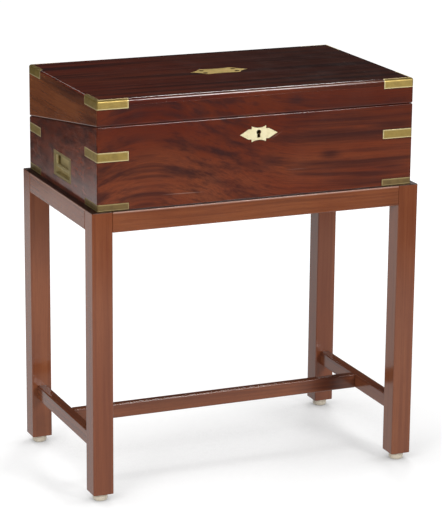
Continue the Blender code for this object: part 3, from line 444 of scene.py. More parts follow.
@dataclass(frozen=True)
class Brass(Finish):
    """Old brass: clouded and spotted where it has toned, bright where handling keeps it rubbed."""

    bright: Triple
    toned: Triple
    worn: Triple
    toning: float
    gloss: Pair
    metallic: float = 1.0
    speckle: float = 0.25
    shade: Shade | None = None

    def fill(self, graph: Graph) -> None:
        """Tone the brass, but for where the attribute nearness, 1 at a rubbed edge, keeps it bright.

        A shade counts its places without their sign, so that it serves both ends of the desk.

        Args:
            graph: the material's empty graph.
        """
        place = graph.coordinates()
        clouds = graph.noise(place, 85.0, 4.0, 0.62)
        spots = graph.noise(place, 620.0, 2.0).step(0.60, 0.74)
        strokes = graph.noise(place, (160.0, 160.0, 2600.0), 2.0)
        near = graph.axes(graph.node("Attribute", {"attribute_name": "nearness"}, {}, "Vector"))
        rubbed = near[0].most(near[1]).most(near[2]).step(0.30, 0.85)
        toned = (clouds.step(0.30, 0.72) + spots * self.speckle) * self.toning * (1.0 - rubbed * 0.9)
        low, high = self.gloss
        colour = graph.mix(toned, self.bright, self.toned)
        # On the handle plates: painted shade on the flat face round the pan.
        if self.shade is not None:
            ends = graph.node("VectorMath", {"operation": "ABSOLUTE"}, {0: place})
            colour = graph.mix(self.shade.reach(graph.axes(ends)), colour, self.shade.tint, "MULTIPLY")
        graph.surface({
            "Base Color": graph.mix(rubbed * 0.85, colour, self.worn),
            "Metallic": self.metallic,
            "Roughness": toned * (high - low) + low,
            "Normal": graph.bump(strokes * 0.5 + clouds, 0.18, 0.0003),
        })


@dataclass(frozen=True)
class Leather(Finish):
    """Green skiver, rubbed in the middle, with a gilt tooled border; its UV map is in metres."""

    half_width: float
    half_length: float
    hide: Triple = (0.030, 0.062, 0.034)
    rubbed: Triple = (0.085, 0.105, 0.060)
    gilt: Triple = (0.58, 0.40, 0.12)
    border: float = 0.011
    line_offset: float = 0.0022
    beat: float = 1250.0

    def fill(self, graph: Graph) -> None:
        """Tool two gilt lines with a row of dots between them, at the border's distance from the edge.

        Args:
            graph: the material's empty graph.
        """
        place = graph.coordinates("UV")
        u, v, _ = graph.axes(place)
        inside = (self.half_width - abs(u)).least(self.half_length - abs(v))
        off = abs(inside - self.border)
        lines = abs(off - self.line_offset).step(0.00055, 0.00025)
        beat = ((u * self.beat).sine() * (v * self.beat).sine()).step(-0.15, 0.25)
        dots = off.step(0.0011, 0.0006) * beat
        cells = {"Vector": place, "Scale": 900.0}
        pebbles = graph.node("TexVoronoi", {"feature": "SMOOTH_F1"}, cells, "Distance")
        clouds = graph.noise(place, 16.0, 5.0, 0.6)
        gilt = lines.most(dots) * graph.noise(place, 140.0, 3.0).step(0.34, 0.46)
        hide = graph.mix(clouds.step(0.35, 0.75) * 0.6, self.hide, self.rubbed)
        graph.surface({
            "Base Color": graph.mix(gilt, hide, self.gilt),
            "Metallic": gilt * 0.9,
            "Roughness": 0.58 - gilt * 0.25,
            "Normal": graph.bump(pebbles * 0.7 + clouds * 0.3 - gilt * 0.4, 0.5, 0.0003),
        })


@dataclass(frozen=True)
class Patched(Finish):
    """A plain material with cloudy patches of a second colour and less gloss, and with fine grooves."""

    clean: Triple
    patch: Triple
    clouds: Triple
    spread: Pair
    share: float
    gloss: Pair
    grooves: Triple
    relief: Pair
    fixed: tuple[tuple[str, float], ...] = ()
    dulling: float = 0.0

    def fill(self, graph: Graph) -> None:
        """Patch the material with noise and groove it with finer noise; dulled patches are not metal.

        Args:
            graph: the material's empty graph.
        """
        place = graph.coordinates()
        patches = graph.noise(place, *self.clouds).step(*self.spread)
        smooth, rougher = self.gloss
        inputs = {
            "Base Color": graph.mix(patches * self.share, self.clean, self.patch),
            "Roughness": patches * rougher + smooth,
            "Normal": graph.bump(graph.noise(place, self.grooves, 2.0), *self.relief),
            **dict(self.fixed),
        }
        if self.dulling:
            inputs["Metallic"] = 1.0 - patches * self.dulling
        graph.surface(inputs)


FLAME_VENEER = Mahogany(
    "flame_mahogany", (0.146, 0.031, 0.0140), (0.032, 0.0130, 0.0125), (0.180, 0.049, 0.021),
    0.75, 0.50, 0.058, (0.09, 0.18), 0.16,
    smoke_and_shade=marks(
        (-0.200, 0.549, 0.040, 0.0050, 0.55), (-0.118, 0.537, 0.042, 0.0060, 0.70),
        (-0.060, 0.519, 0.032, 0.0065, 0.95), (-0.204, 0.581, 0.036, 0.0075, 0.75),
        (-0.135, 0.582, 0.030, 0.0055, 0.65), (-0.094, 0.582, 0.012, 0.0100, 0.65),
        (-0.035, 0.563, 0.016, 0.0080, 0.60), (-0.012, 0.496, 0.028, 0.0065, 0.65),
        (-0.043, 0.469, 0.048, 0.0060, 0.50), (-0.143, 0.498, 0.014, 0.0100, 0.35),
        (0.117, 0.503, 0.016, 0.0070, 0.85), (0.220, 0.540, 0.040, 0.0070, 0.75),
        (0.140, 0.559, 0.048, 0.0045, 0.50), (0.218, 0.480, 0.030, 0.0060, 0.65),
        (0.178, 0.469, 0.042, 0.0075, 0.50), (0.227, 0.578, 0.028, 0.0045, 0.60),
        (0.060, 0.590, 0.012, 0.0090, 0.65), (0.150, 0.580, 0.090, 0.0150, 0.35),
    ),
    scratches_and_highlights=marks(
        (-0.120, 0.4625, 0.024, 0.0006, 0.55, 0.02), (0.062, 0.484, 0.014, 0.0005, 0.22, 0.03),
        (0.028, 0.538, 0.008, 0.0005, 0.40, -0.5),
    ),
    shades=(Shade(2, 0.46, 0.59, (0.64, 0.51, 0.54)),),
)
CROWN_VENEER = Mahogany(
    "crown_mahogany", (0.176, 0.027, 0.0115), (0.024, 0.0075, 0.0075), (0.210, 0.039, 0.0155),
    0.80, 0.60, 0.0, (0.09, 0.18), 0.15, dust=0.5,
    # Painted highlight: a pale line along the lid top's front arris.
    scratches_and_highlights=marks((0.14, 0.6076, 0.24, 0.0005, 0.85)),
    shades=(Shade(0, -0.22, 0.18, (0.44, 0.60, 0.74)),),
)
LID_END_VENEER = Mahogany(
    "lid_end_mahogany", (0.204, 0.063, 0.0235), (0.040, 0.0115, 0.009), (0.243, 0.082, 0.0305),
    0.28, 0.25, 0.0, (0.12, 0.22), ripple=2.0,
    # Darker front part and a dark band under the top edge: veneer figure and painted shade together.
    smoke_and_shade=marks(
        (-0.135, 0.565, 0.060, 0.040, 0.80), (-0.040, 0.602, 0.130, 0.0110, 1.0),
        (0.045, 0.556, 0.035, 0.010, 0.35),
    ),
)
BASE_END_VENEER = Mahogany(
    "base_end_mahogany", (0.122, 0.0290, 0.0150), (0.028, 0.011, 0.010), (0.190, 0.044, 0.019),
    0.60, 0.40, 0.0, (0.12, 0.22), ripple=2.5, dust=0.30, blotch=0.70,
    scratches_and_highlights=marks(
        (0.110, 0.492, 0.026, 0.0005, 0.50, 0.55), (0.128, 0.478, 0.020, 0.0005, 0.45, 0.40),
        (0.095, 0.470, 0.018, 0.0004, 0.40, 0.70), (-0.092, 0.500, 0.0006, 0.030, 0.35),
        (-0.098, 0.462, 0.010, 0.0005, 0.40, 0.30),
    ),
)
INSIDE_WOOD = Mahogany(
    "inside_mahogany", (0.190, 0.060, 0.026), (0.085, 0.026, 0.014), (0.250, 0.090, 0.040),
    0.40, 0.35, 0.0, (0.38, 0.52),
)
STAND_WOOD = Mahogany(
    "stand_mahogany", (0.190, 0.054, 0.021), (0.100, 0.024, 0.011), (0.232, 0.075, 0.030),
    0.30, 0.35, 0.0, (0.13, 0.20),
    # Painted shade: a dark ledge along the rails' top, and darker legs and rails on the right-hand side.
    shades=(
        Shade(2, 0.4438, 0.4453, (0.18, 0.17, 0.20), 0.30), Shade(0, 0.20, 0.23, (0.91, 0.91, 0.92)),
    ),
)
RAIL_WOOD = replace(
    STAND_WOOD, name="rail_mahogany", dark=(0.060, 0.018, 0.012), pale=(0.40, 0.23, 0.17),
    # Painted shade: darker right-hand ends and a darker band along the stretchers' tops.
    smoke_and_shade=marks(
        (0.190, 0.086, 0.050, 0.060, 0.80), (0.0, 0.098, 9.0, 0.004, 0.45),
        (0.050, 0.086, 0.060, 0.060, 0.14),
    ),
    # Painted highlight: a line in the pale colour along the rails' top outer edge.
    scratches_and_highlights=marks((0.0, 0.4436, 9.0, 0.0010, 0.75)),
)
OLD_BRASS = Brass(
    "old_brass", (0.385, 0.272, 0.072), (0.246, 0.170, 0.046), (0.82, 0.70, 0.38),
    0.80, (0.36, 0.46), 0.60,
)
# Darker brass for the foot corners.
DARK_FOOT_BRASS = Brass(
    "dark_foot_brass", (0.205, 0.133, 0.046), (0.126, 0.083, 0.031), (0.42, 0.33, 0.15),
    0.80, (0.42, 0.54), 0.60,
)
# Handle plates: the base colour is raised to paint light into the sunk pan, and the shade darkens the flat
# face as painted shade.
OLIVE_BRASS = Brass(
    "olive_brass", (0.50, 0.405, 0.195), (0.415, 0.335, 0.165), (0.60, 0.52, 0.28),
    0.80, (0.52, 0.64), 0.40, shade=Shade(0, 0.2530, 0.2537, (0.60, 0.57, 0.52)),
)
BRIGHT_BRASS = Brass(
    "bright_brass", (0.50, 0.360, 0.088), (0.36, 0.250, 0.058), (0.95, 0.82, 0.46),
    0.75, (0.34, 0.44), 0.85,
)
RUBBED_BRASS = Brass(
    "rubbed_brass", (0.89, 0.81, 0.53), (0.62, 0.52, 0.27), (1.0, 0.95, 0.70),
    0.50, (0.42, 0.50), 0.70, 0.9,
)
STEEL = Patched(
    "bright_steel", (0.36, 0.36, 0.35), (0.13, 0.075, 0.045), (300.0, 5.0, 0.65), (0.56, 0.74), 0.7,
    (0.32, 0.35), (2400.0, 500.0, 500.0), (0.25, 0.0001), dulling=0.6,
)
GLASS = Patched(
    "pressed_glass", (0.93, 0.97, 0.95), (0.74, 0.82, 0.80), (190.0, 4.0, 0.55), (0.45, 0.8), 1.0,
    (0.02, 0.12), (70.0, 70.0, 40.0), (0.3, 0.0005), (("Transmission Weight", 1.0), ("IOR", 1.5)),
)
PLASTIC = Patched(
    "cream_plastic", (0.58, 0.52, 0.42), (0.34, 0.28, 0.20), (260.0, 5.0, 0.6), (0.45, 0.75), 0.5,
    (0.38, 0.2), (1500.0, 1500.0, 300.0), (0.2, 0.0001),
)


def placed(name: str, data: bpy.types.ID) -> Piece:
    """Put an object with its data into the scene.

    Args:
        name: the object's name.
        data: its mesh, lamp or camera.

    Returns:
        The object, at the origin.
    """
    thing = bpy.data.objects.new(name, data)
    bpy.context.collection.objects.link(thing)
    return thing


def shaded(name: str, mesh: bpy.types.Mesh, sharp: float = SHARP_DEGREES) -> Piece:
    """Shade a mesh smooth, but for its sharp edges, and put it into the scene.

    Args:
        name: the piece's name.
        mesh: its mesh.
        sharp: the angle in degrees past which an edge stays sharp.

    Returns:
        The object, at the origin.
    """
    mesh.shade_smooth()
    mesh.set_sharp_from_angle(angle=math.radians(sharp))
    return placed(name, mesh)


class Form:
    """A mesh put together from surface grids."""

    def __init__(self, name: str) -> None:
        """Start an empty form.

        Args:
            name: the piece's name.
        """
        self.name = name
        self.points: list[Array] = []
        self.quads: list[Array] = []
        self.caps: list[Array] = []
        self.count = 0

    def add(self, grid: Array) -> "Form":
        """Add a tube of surface: rows of points that each close on themselves, with both ends capped.

        The sign of the volume that it encloses tells which way its faces point.

        Args:
            grid: rows x columns x 3 places.

        Returns:
            The form itself.
        """
        index = np.arange(grid[..., 0].size).reshape(grid.shape[:2])
        after = np.roll(index, -1, axis=1)
        quads = np.stack((index[:-1], after[:-1], after[1:], index[1:]), axis=-1).reshape(-1, 4)
        ends = [index[0][::-1], index[-1]]
        places = grid.reshape(-1, 3)
        a, b, c, d = (places[quads[:, k]] - places.mean(axis=0) for k in range(4))
        if np.einsum("ij,ij->i", a, np.cross(b, c) + np.cross(c, d)).sum() < 0.0:
            quads = quads[:, ::-1]
            ends = [end[::-1] for end in ends]
        self.points.append(places)
        self.quads.append(quads + self.count)
        self.caps.extend(end + self.count for end in ends)
        self.count += len(places)
        return self

    def build(self, material: Material, sharp: float = SHARP_DEGREES) -> Piece:
        """Make the object.

        Args:
            material: its finish.
            sharp: the angle in degrees past which an edge stays sharp.

        Returns:
            The object, at the origin.
        """
        mesh = bpy.data.meshes.new(self.name)
        faces = np.concatenate(self.quads).tolist() + [cap.tolist() for cap in self.caps]
        mesh.from_pydata(np.concatenate(self.points).tolist(), [], faces)
        mesh.materials.append(material)
        return shaded(self.name, mesh, sharp)


def rounded_section(half_a: Array, half_b: Array, radius: Array, steps: int = 5) -> Array:
    """Rounded rectangles, one for each row: corner middles plus a quarter circle each.

    Args:
        half_a: half sizes along the first axis, one for each row.
        half_b: half sizes along the second axis.
        radius: the corners' radii.
        steps: steps in each quarter circle.

    Returns:
        Rows x points x 2 places about the section's middle.
    """
    corner = np.linspace(0.0, QUARTER_TURN, steps + 1)
    turn = (np.arange(4)[:, None] * QUARTER_TURN + corner).ravel()
    side_a = np.repeat([1.0, -1.0, -1.0, 1.0], steps + 1)
    side_b = np.repeat([1.0, 1.0, -1.0, -1.0], steps + 1)
    a = (half_a - radius)[:, None] * side_a + radius[:, None] * np.cos(turn)
    b = (half_b - radius)[:, None] * side_b + radius[:, None] * np.sin(turn)
    return np.stack((a, b), axis=-1)


def eased_bar(low: Array, high: Array, grain: Grain, arris: float, end_arris: float) -> Array:
    """A bar with eased edges: a rounded rectangle carried along the grain, drawn in at both ends.

    Near an end the section is drawn in by e (1 - cos t) while the place moves by e (1 - sin t).

    Args:
        low: the bar's lowest corner.
        high: its highest corner.
        grain: the axis that it runs along.
        arris: radius of the long edges.
        end_arris: radius of the end edges.

    Returns:
        The surface grid.
    """
    along = grain.value
    first, second = (axis for axis in range(3) if axis != along)
    turn = np.linspace(QUARTER_TURN, 0.0, 5)
    drawn = end_arris * (1.0 - np.cos(turn))
    held = end_arris * (1.0 - np.sin(turn))
    inset = np.concatenate((drawn, drawn[::-1]))
    half, middle = (high - low) / 2, (low + high) / 2
    radius = np.maximum(arris - inset / 2, LEAST_RADIUS)
    section = rounded_section(half[first] - inset, half[second] - inset, radius)
    grid = np.empty((*section.shape[:2], 3))
    grid[..., along] = np.concatenate((low[along] + held, (high[along] - held)[::-1]))[:, None]
    grid[..., first] = section[..., 0] + middle[first]
    grid[..., second] = section[..., 1] + middle[second]
    return grid


def turned(profile: Sequence[Pair], centre: Sequence[float], steps: int = 64) -> Array:
    """A turned form: a profile of radius and height swept about an upright axis.

    Args:
        profile: radius and height of each point.
        centre: the axis, as x and y.
        steps: points in each ring.

    Returns:
        The surface grid.
    """
    radius, height = np.array(profile, float).T
    turn = np.linspace(0.0, FULL_TURN, steps, endpoint=False)
    x = centre[0] + radius[:, None] * np.cos(turn)
    y = centre[1] + radius[:, None] * np.sin(turn)
    return np.stack((x, y, np.repeat(height[:, None], steps, axis=1)), axis=-1)


def bent_rod(path: Array, side: Array, half_a: float, half_b: float, radius: float) -> Array:
    """A rod of rounded section carried along a flat path.

    Each row is path + a * (tangent x side) + b * side, for a section of places a and b.

    Args:
        path: the path's points.
        side: the direction square to the path's plane.
        half_a: half the section's size in the path's plane.
        half_b: half its size along side.
        radius: the section's corner radius.

    Returns:
        The surface grid.
    """
    tangent = np.gradient(path, axis=0)
    tangent /= np.linalg.norm(tangent, axis=1, keepdims=True)
    ones = np.ones(len(path))
    section = rounded_section(half_a * ones, half_b * ones, radius * ones)
    across = np.cross(tangent, side)
    return path[:, None] + section[..., :1] * across[:, None] + section[..., 1:] * side


def box_of(node: str) -> tuple[Array, Array]:
    """Lowest and highest corner of a solid."""
    low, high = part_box(node)
    return np.array(low, float), np.array(high, float)


def points_of(mesh: bpy.types.Mesh) -> Array:
    """Read a mesh's points.

    Args:
        mesh: the mesh.

    Returns:
        Rows of x, y and z.
    """
    places = np.empty(len(mesh.vertices) * 3, np.float32)
    mesh.vertices.foreach_get("co", places)
    return places.reshape(-1, 3)


def in_turn(*shifts: Shift) -> Shift:
    """Join changes to points into one.

    Args:
        shifts: the changes, in order.

    Returns:
        The change that makes them all.
    """

    def shift_all(places: Array) -> Array:
        """Make every change.

        Args:
            places: the points.

        Returns:
            The moved points.
        """
        for shift in shifts:
            places = shift(places)
        return places

    return shift_all


def keep_flat(piece: Piece) -> Piece:
    """Let a piece's large faces set the shading of its edges, so that they look flat.

    Args:
        piece: the object.

    Returns:
        The object.
    """
    flat = piece.modifiers.new("flat_faces", "WEIGHTED_NORMAL")
    flat.mode = "FACE_AREA"
    flat.weight = 100
    flat.keep_sharp = True
    return piece


def settle(piece: Piece, body: Body, slot: Slot, *nodes: str) -> Piece:
    """Make a piece ride on its body and let it stand for its solids.

    Args:
        piece: the object.
        body: the body that carries it.
        slot: the record's material slot; not used.
        nodes: the solids that it stands for.

    Returns:
        The object.
    """
    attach(piece, body.value)
    if nodes:
        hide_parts(*nodes)
    LOG.info("%s rides on %s", piece.name, body.value)
    return piece


def dressed(
    family: str, node: str, body: Body, slot: Slot, finish: Material, edge: float,
    shift: Shift | None = None, steps: int = 2,
) -> Piece:
    """Copy a solid, merge its loose triangles into flat faces, and round its sharp edges.

    Args:
        family: the first word of the piece's name.
        node: the solid that it stands for.
        body: the body that carries it.
        slot: the record's material slot.
        finish: its material.
        edge: how far the rounding reaches on each side of an edge.
        shift: a change to its points, as a whole array.
        steps: segments of the rounding.

    Returns:
        The piece.
    """
    name = f"{family}_{node}"
    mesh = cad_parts[node].data.copy()
    mesh.name = name
    mesh.materials.clear()
    mesh.materials.append(finish)
    work = bmesh.new()
    work.from_mesh(mesh)
    bmesh.ops.remove_doubles(work, verts=work.verts, dist=SAME_POINT)
    bmesh.ops.dissolve_limit(work, angle_limit=FLAT_ANGLE, verts=work.verts, edges=work.edges)
    work.to_mesh(mesh)
    work.free()
    if shift is not None:
        mesh.vertices.foreach_set("co", shift(points_of(mesh)).astype(np.float32).ravel())
        mesh.update()
    piece = shaded(name, mesh)
    bevel = piece.modifiers.new("eased", "BEVEL")
    bevel.width = edge
    bevel.segments = steps
    bevel.limit_method = "ANGLE"
    bevel.angle_limit = EASED_ANGLE
    bevel.use_clamp_overlap = True
    return settle(keep_flat(piece), body, slot, node)


@dataclass(frozen=True)
class Screws:
    """Slotted screws let in flush, each turned on from the last; other sizes are shares of the radius."""

    radius: float
    first_turn: float
    next_turn: float
    dome: float = 0.10
    proud: float = 0.02
    slot_depth: float = 0.34
    slot_half: float = 0.24
    slot_side: float = 0.08
    sunk: float = 0.5
    core: float = 0.02
    rings: int = 16
    spokes: int = 40

    def build(self, name: str, body: Body, finish: Material, places: Sequence[Array], facing: Triple) -> None:
        """Make one piece of several screws.

        Args:
            name: the piece's name.
            body: the body that carries it.
            finish: its material.
            places: the heads' middles, on the surface.
            facing: the direction that they face.
        """
        form = Form(name)
        for count, place in enumerate(places):
            form.add(self._head(place, facing, self.first_turn + self.next_turn * count))
        settle(form.build(finish), body, Slot.BRASS)

    def _head(self, centre: Array, facing: Triple, turn: float) -> Array:
        """One head: a low dome r -> h (1 - r^2), cut by a slot with sloping sides.

        Args:
            centre: the head's middle.
            facing: the direction that it faces.
            turn: the slot's angle in radians.

        Returns:
            The surface grid.
        """
        ring = np.concatenate((np.linspace(self.core, 1.0, self.rings), [1.0]))[:, None]
        angle = np.linspace(0.0, FULL_TURN, self.spokes, endpoint=False)
        a, b = ring * np.cos(angle), ring * np.sin(angle)
        off = np.abs(b * math.cos(turn) - a * math.sin(turn))
        slot = self.slot_depth * np.clip((self.slot_half - off) / self.slot_side, 0.0, 1.0)
        height = self.dome * (1.0 - ring**2) + self.proud - slot
        height[-1] = -self.sunk
        axes = Vector(facing).normalized().to_track_quat("Z", "Y").to_matrix()
        return np.stack((a, b, height), axis=-1) * self.radius @ np.array(axes).T + np.array(centre)


@dataclass
class Stand:
    """The mahogany stand: square legs, flush rails, the H stretcher and the cream glides."""

    wood: Mahogany
    rail_wood: Mahogany
    plastic: Patched
    arris: float = 0.0017
    end_arris: float = 0.0010
    joint: float = 0.00015
    foot_round: float = 0.003
    collar_foot: float = 0.0035
    collar_top: float = 0.003
    collar_step: float = 0.0007
    centre_ring: float = 0.0004

    def build(self) -> None:
        """Make every member and let it stand for its solid; the bars between end at their shoulders."""
        along_x, along_y = (self.rail_wood.cut(grain) for grain in (Grain.ALONG_X, Grain.ALONG_Y))
        upright = self.wood.cut(Grain.ALONG_Z)
        for corner in CORNERS:
            self._bar(f"leg_{corner}", Grain.ALONG_Z, upright)
        inner = (box_of("leg_front_left")[1] + self.joint, box_of("leg_rear_right")[0] - self.joint)
        for node in ("rail_front", "rail_rear"):
            self._bar(node, Grain.ALONG_X, along_x, inner)
        for node in ("rail_left", "rail_right", "stretcher_left", "stretcher_right"):
            self._bar(node, Grain.ALONG_Y, along_y, inner)
        between = (box_of("stretcher_left")[1] + self.joint, box_of("stretcher_right")[0] - self.joint)
        self._bar("stretcher_centre", Grain.ALONG_X, along_x, between)
        plastic = self.plastic.material()
        for corner in CORNERS:
            self._glide(corner, plastic)

    def _bar(
        self, node: str, grain: Grain, finish: Material, shoulders: tuple[Array, Array] | None = None
    ) -> None:
        """Make one eased bar.

        Args:
            node: the solid that it stands for.
            grain: the axis that it runs along.
            finish: its wood.
            shoulders: places that it ends at, if not at the solid's own ends.
        """
        low, high = box_of(node)
        if shoulders is not None:
            low[grain.value], high[grain.value] = (place[grain.value] for place in shoulders)
        form = Form(f"stand_{node}").add(eased_bar(low, high, grain, self.arris, self.end_arris))
        settle(keep_flat(form.build(finish)), Body.STAND, Slot.STAND_WOOD, node)

    def _glide(self, corner: str, plastic: Material) -> None:
        """Make one glide: a turned button with a rounded foot and a thin collar.

        Args:
            corner: the leg that it is nailed to.
            plastic: its finish.
        """
        low, high = box_of(f"glide_{corner}")
        top = box_of(f"leg_{corner}")[0][2]
        radius = (high[0] - low[0]) / 2
        neck = radius - self.collar_step
        turn = np.linspace(0.0, QUARTER_TURN, 8)
        foot = radius - self.foot_round * (1 - np.sin(turn)), self.foot_round * (1 - np.cos(turn))
        collar = [(radius, top - self.collar_foot), (neck, top - self.collar_top), (neck, top)]
        profile = [(self.centre_ring, 0.0), *zip(*foot), *collar, (self.centre_ring, top)]
        form = Form(f"stand_glide_{corner}").add(turned(profile, (low + high) / 2))
        settle(form.build(plastic), Body.STAND, Slot.PLASTIC, f"glide_{corner}")


@dataclass
class Seam:
    """The frame of the sloping seam: X, reach behind the hinge pin, and height above the seam."""

    pin: Triple = (0.0, 0.15365, 0.52855)
    slope: float = 0.137471
    gap: float = 0.0012
    shut: float = 0.0005
    slack: float = 0.00005

    def axes(self) -> Array:
        """Rows are the seam's own axes in the frame's axes."""
        c, s = math.cos(self.slope), math.sin(self.slope)
        return np.array([[1.0, 0.0, 0.0], [0.0, c, -s], [0.0, s, c]])

    def world(self, places: Array) -> Array:
        """Places of the seam's frame in the desk's frame."""
        return places @ self.axes() + np.array(self.pin)

    def local(self, places: Array) -> Array:
        """Places of the desk's frame in the seam's frame."""
        return (places - np.array(self.pin)) @ self.axes().T

    def closed(self, places: Array) -> Array:
        """Bring what lies on the seam nearer to its middle, so that the lid shuts to a fine line.

        Args:
            places: points of a wall.

        Returns:
            The moved points.
        """
        local = self.local(places)
        height = local[:, 2]
        on_seam = np.abs(np.abs(height) - self.gap / 2) < self.slack
        local[:, 2] = np.where(on_seam, np.sign(height) * self.shut / 2, height)
        return self.world(local)

    def facing(self, side: int) -> Array:
        """The direction square to the seam, up for 1 and down for -1."""
        return side * self.axes()[2]

    def box(self, node: str) -> tuple[Array, Array]:
        """Lowest and highest corner of a solid, in the seam's frame."""
        local = self.local(points_of(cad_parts[node].data).astype(float))
        return local.min(axis=0), local.max(axis=0)


@dataclass(frozen=True)
class Inlay:
    """Finer shapes of what is let into the wood, shared by each brass and its bed."""

    corner_width: float = 0.0145
    lip: float = 0.0055
    lip_depth: float = 0.003
    slack: float = 0.001
    head_rise: float = 0.0024
    head_scale: float = 1.207
    slot_scale: float = 1.38
    slot_foot: float = 0.0054
    hole_reach: Triple = (0.0032, 0.0066, 0.0056)
    lobe_start: float = 0.0328
    lobe_half: float = 0.0095
    fullness: float = 0.6
    piercing: Pair = (0.026, 0.0086)
    piercing_radius: float = 0.0022
    piercing_scale: float = 1.8

    def lips(self, places: Array) -> Array:
        """Draw in the lid's top: a point at a corner's full width from a face moves to the lip's width.

        Args:
            places: points of a corner brass or of the lid's top.

        Returns:
            The moved points.
        """
        low, high = box_of("lid_top")
        moved = places.copy()
        on_top = places[:, 2] > high[2] - self.lip_depth
        for axis in (0, 1):
            for face, inwards in ((low[axis], 1.0), (high[axis], -1.0)):
                away = (places[:, axis] - face) * inwards
                inner = on_top & (np.abs(away - self.corner_width) < self.slack)
                moved[:, axis] += np.where(inner, inwards * (self.lip - self.corner_width), 0.0)
        return moved

    def keyhole(self, places: Array) -> Array:
        """Open the keyhole: its head grows about its own middle, and its slot widens towards its foot.

        Args:
            places: points of the keyhole plate or of the front wall.

        Returns:
            The moved points.
        """
        low, high = box_of("escutcheon")
        level = (low[2] + high[2]) / 2
        beside, below, above = self.hole_reach
        x, up = places[:, 0], places[:, 2] - level
        hole = (np.abs(x) < beside) & (up > -below) & (up < above)
        foot = hole & (up < -self.slot_foot / 2)
        head = hole & ~foot
        grown = level + self.head_rise + (up - self.head_rise) * self.head_scale
        moved = places.copy()
        moved[:, 0] = x * np.where(head, self.head_scale, np.where(foot, self.slot_scale, 1.0))
        moved[:, 2] = np.where(head, grown, np.where(foot, level - self.slot_foot, places[:, 2]))
        return moved

    def cartouche(self, places: Array) -> Array:
        """Fill out the lid plate's pointed ends, v -> h (v / h)^p past its lobes, and widen its piercings.

        Args:
            places: points of the plate or of the lid's top.

        Returns:
            The moved points.
        """
        low, high = box_of("lid_cartouche")
        middle = (low[1] + high[1]) / 2
        along, across = places[:, 0], places[:, 1] - middle
        far, wide = np.abs(along), np.abs(across)
        near = (places[:, 2] > low[2] - self.slack) & (far < high[0] + self.slack)
        ends = near & (far > self.lobe_start) & (wide < self.lobe_half + self.slack)
        fuller = np.sign(across) * self.lobe_half * (wide / self.lobe_half) ** self.fullness
        moved = places.copy()
        moved[:, 1] = np.where(ends, middle + fuller, places[:, 1])
        beside, ahead = far - self.piercing[0], wide - self.piercing[1]
        hole = near & (np.hypot(beside, ahead) < self.piercing_radius + self.slack)
        grown = np.where(hole, self.piercing_scale - 1.0, 0.0)
        moved[:, 0] += np.sign(along) * beside * grown
        moved[:, 1] += np.sign(across) * ahead * grown
        return moved


@dataclass
class DeskShell:
    """The mahogany box: walls above and below the seam, top and bottom boards."""

    inlay: Inlay
    seam: Seam
    veneer: Mahogany
    crown: Mahogany
    lid_end: Mahogany
    base_end: Mahogany
    inside: Mahogany
    edge: float = 0.0003
    crisp: float = 0.00003
    rim_reach: float = 1e-4
    rim_room: float = 1e-5
    pip_room: float = 0.0001
    end_facing: float = 0.95

    def build(self) -> None:
        """Copy each board with its joints closed up, ease its edges and veneer it."""
        front = self.veneer.cut(Grain.ALONG_X)
        lid_end, base_end = self.lid_end.cut(Grain.ALONG_Y), self.base_end.cut(Grain.ALONG_Y)
        shut, seated = self.seam.closed, in_turn(self._seated, self.seam.closed)
        for wall in ("front", "rear"):
            keyed = in_turn(self.inlay.keyhole, shut) if wall == "front" else shut
            self._board(f"base_{wall}", Body.DESK, front, keyed)
            self._board(f"lid_{wall}", Body.LID, front, seated)
        for wall in ("left_end", "right_end"):
            self._board(f"base_{wall}", Body.DESK, base_end, shut)
            self._board(f"lid_{wall}", Body.LID, lid_end, seated, self.crisp)
        top = self.crown.cut(Grain.ALONG_X)
        bedded = in_turn(self.inlay.lips, self.inlay.cartouche)
        self._dress_ends(self._board("lid_top", Body.LID, top, bedded), lid_end)
        self._pips(top)
        self._board("base_bottom", Body.DESK, self.inside.cut(Grain.ALONG_X))

    def _board(
        self, node: str, body: Body, finish: Material, shift: Shift | None = None, edge: float | None = None
    ) -> Piece:
        """Make one board, with the shell's own edge unless another is given."""
        return dressed("desk", node, body, Slot.DESK_WOOD, finish, edge or self.edge, shift)

    def _seated(self, places: Array) -> Array:
        """Raise a lid wall's upper rim to the underside of the top board.

        Args:
            places: points of the wall.

        Returns:
            The moved points.
        """
        rim, seat = box_of("lid_front")[1][2], box_of("lid_top")[0][2]
        moved = places.copy()
        moved[:, 2] = np.where(places[:, 2] > rim - self.rim_reach, seat - self.rim_room, places[:, 2])
        return moved

    def _pips(self, finish: Material) -> None:
        """Leave the lid's wood standing in the plate's piercings: four low turned discs.

        Args:
            finish: the lid's veneer.
        """
        low, high = box_of("lid_cartouche")
        middle = (low[1] + high[1]) / 2
        out, up = self.inlay.piercing
        room, top = self.pip_room, high[2] - self.pip_room
        radius = self.inlay.piercing_radius * self.inlay.piercing_scale - room
        profile = ((radius, low[2]), (radius, top - room), (radius - room, top))
        form = Form("desk_cartouche_pips")
        for side, way in QUARTERS:
            form.add(turned(profile, (side * out, middle + way * up), 32))
        settle(form.build(finish), Body.LID, Slot.DESK_WOOD)

    def _dress_ends(self, board: Piece, finish: Material) -> None:
        """Give a board's faces that look along X another veneer.

        Args:
            board: the board.
            finish: the veneer of its ends.
        """
        board.data.materials.append(finish)
        normals = np.empty(len(board.data.polygons) * 3, np.float32)
        board.data.polygons.foreach_get("normal", normals)
        ends = np.abs(normals.reshape(-1, 3)[:, 0]) > self.end_facing
        board.data.polygons.foreach_set("material_index", ends.astype(np.int32))


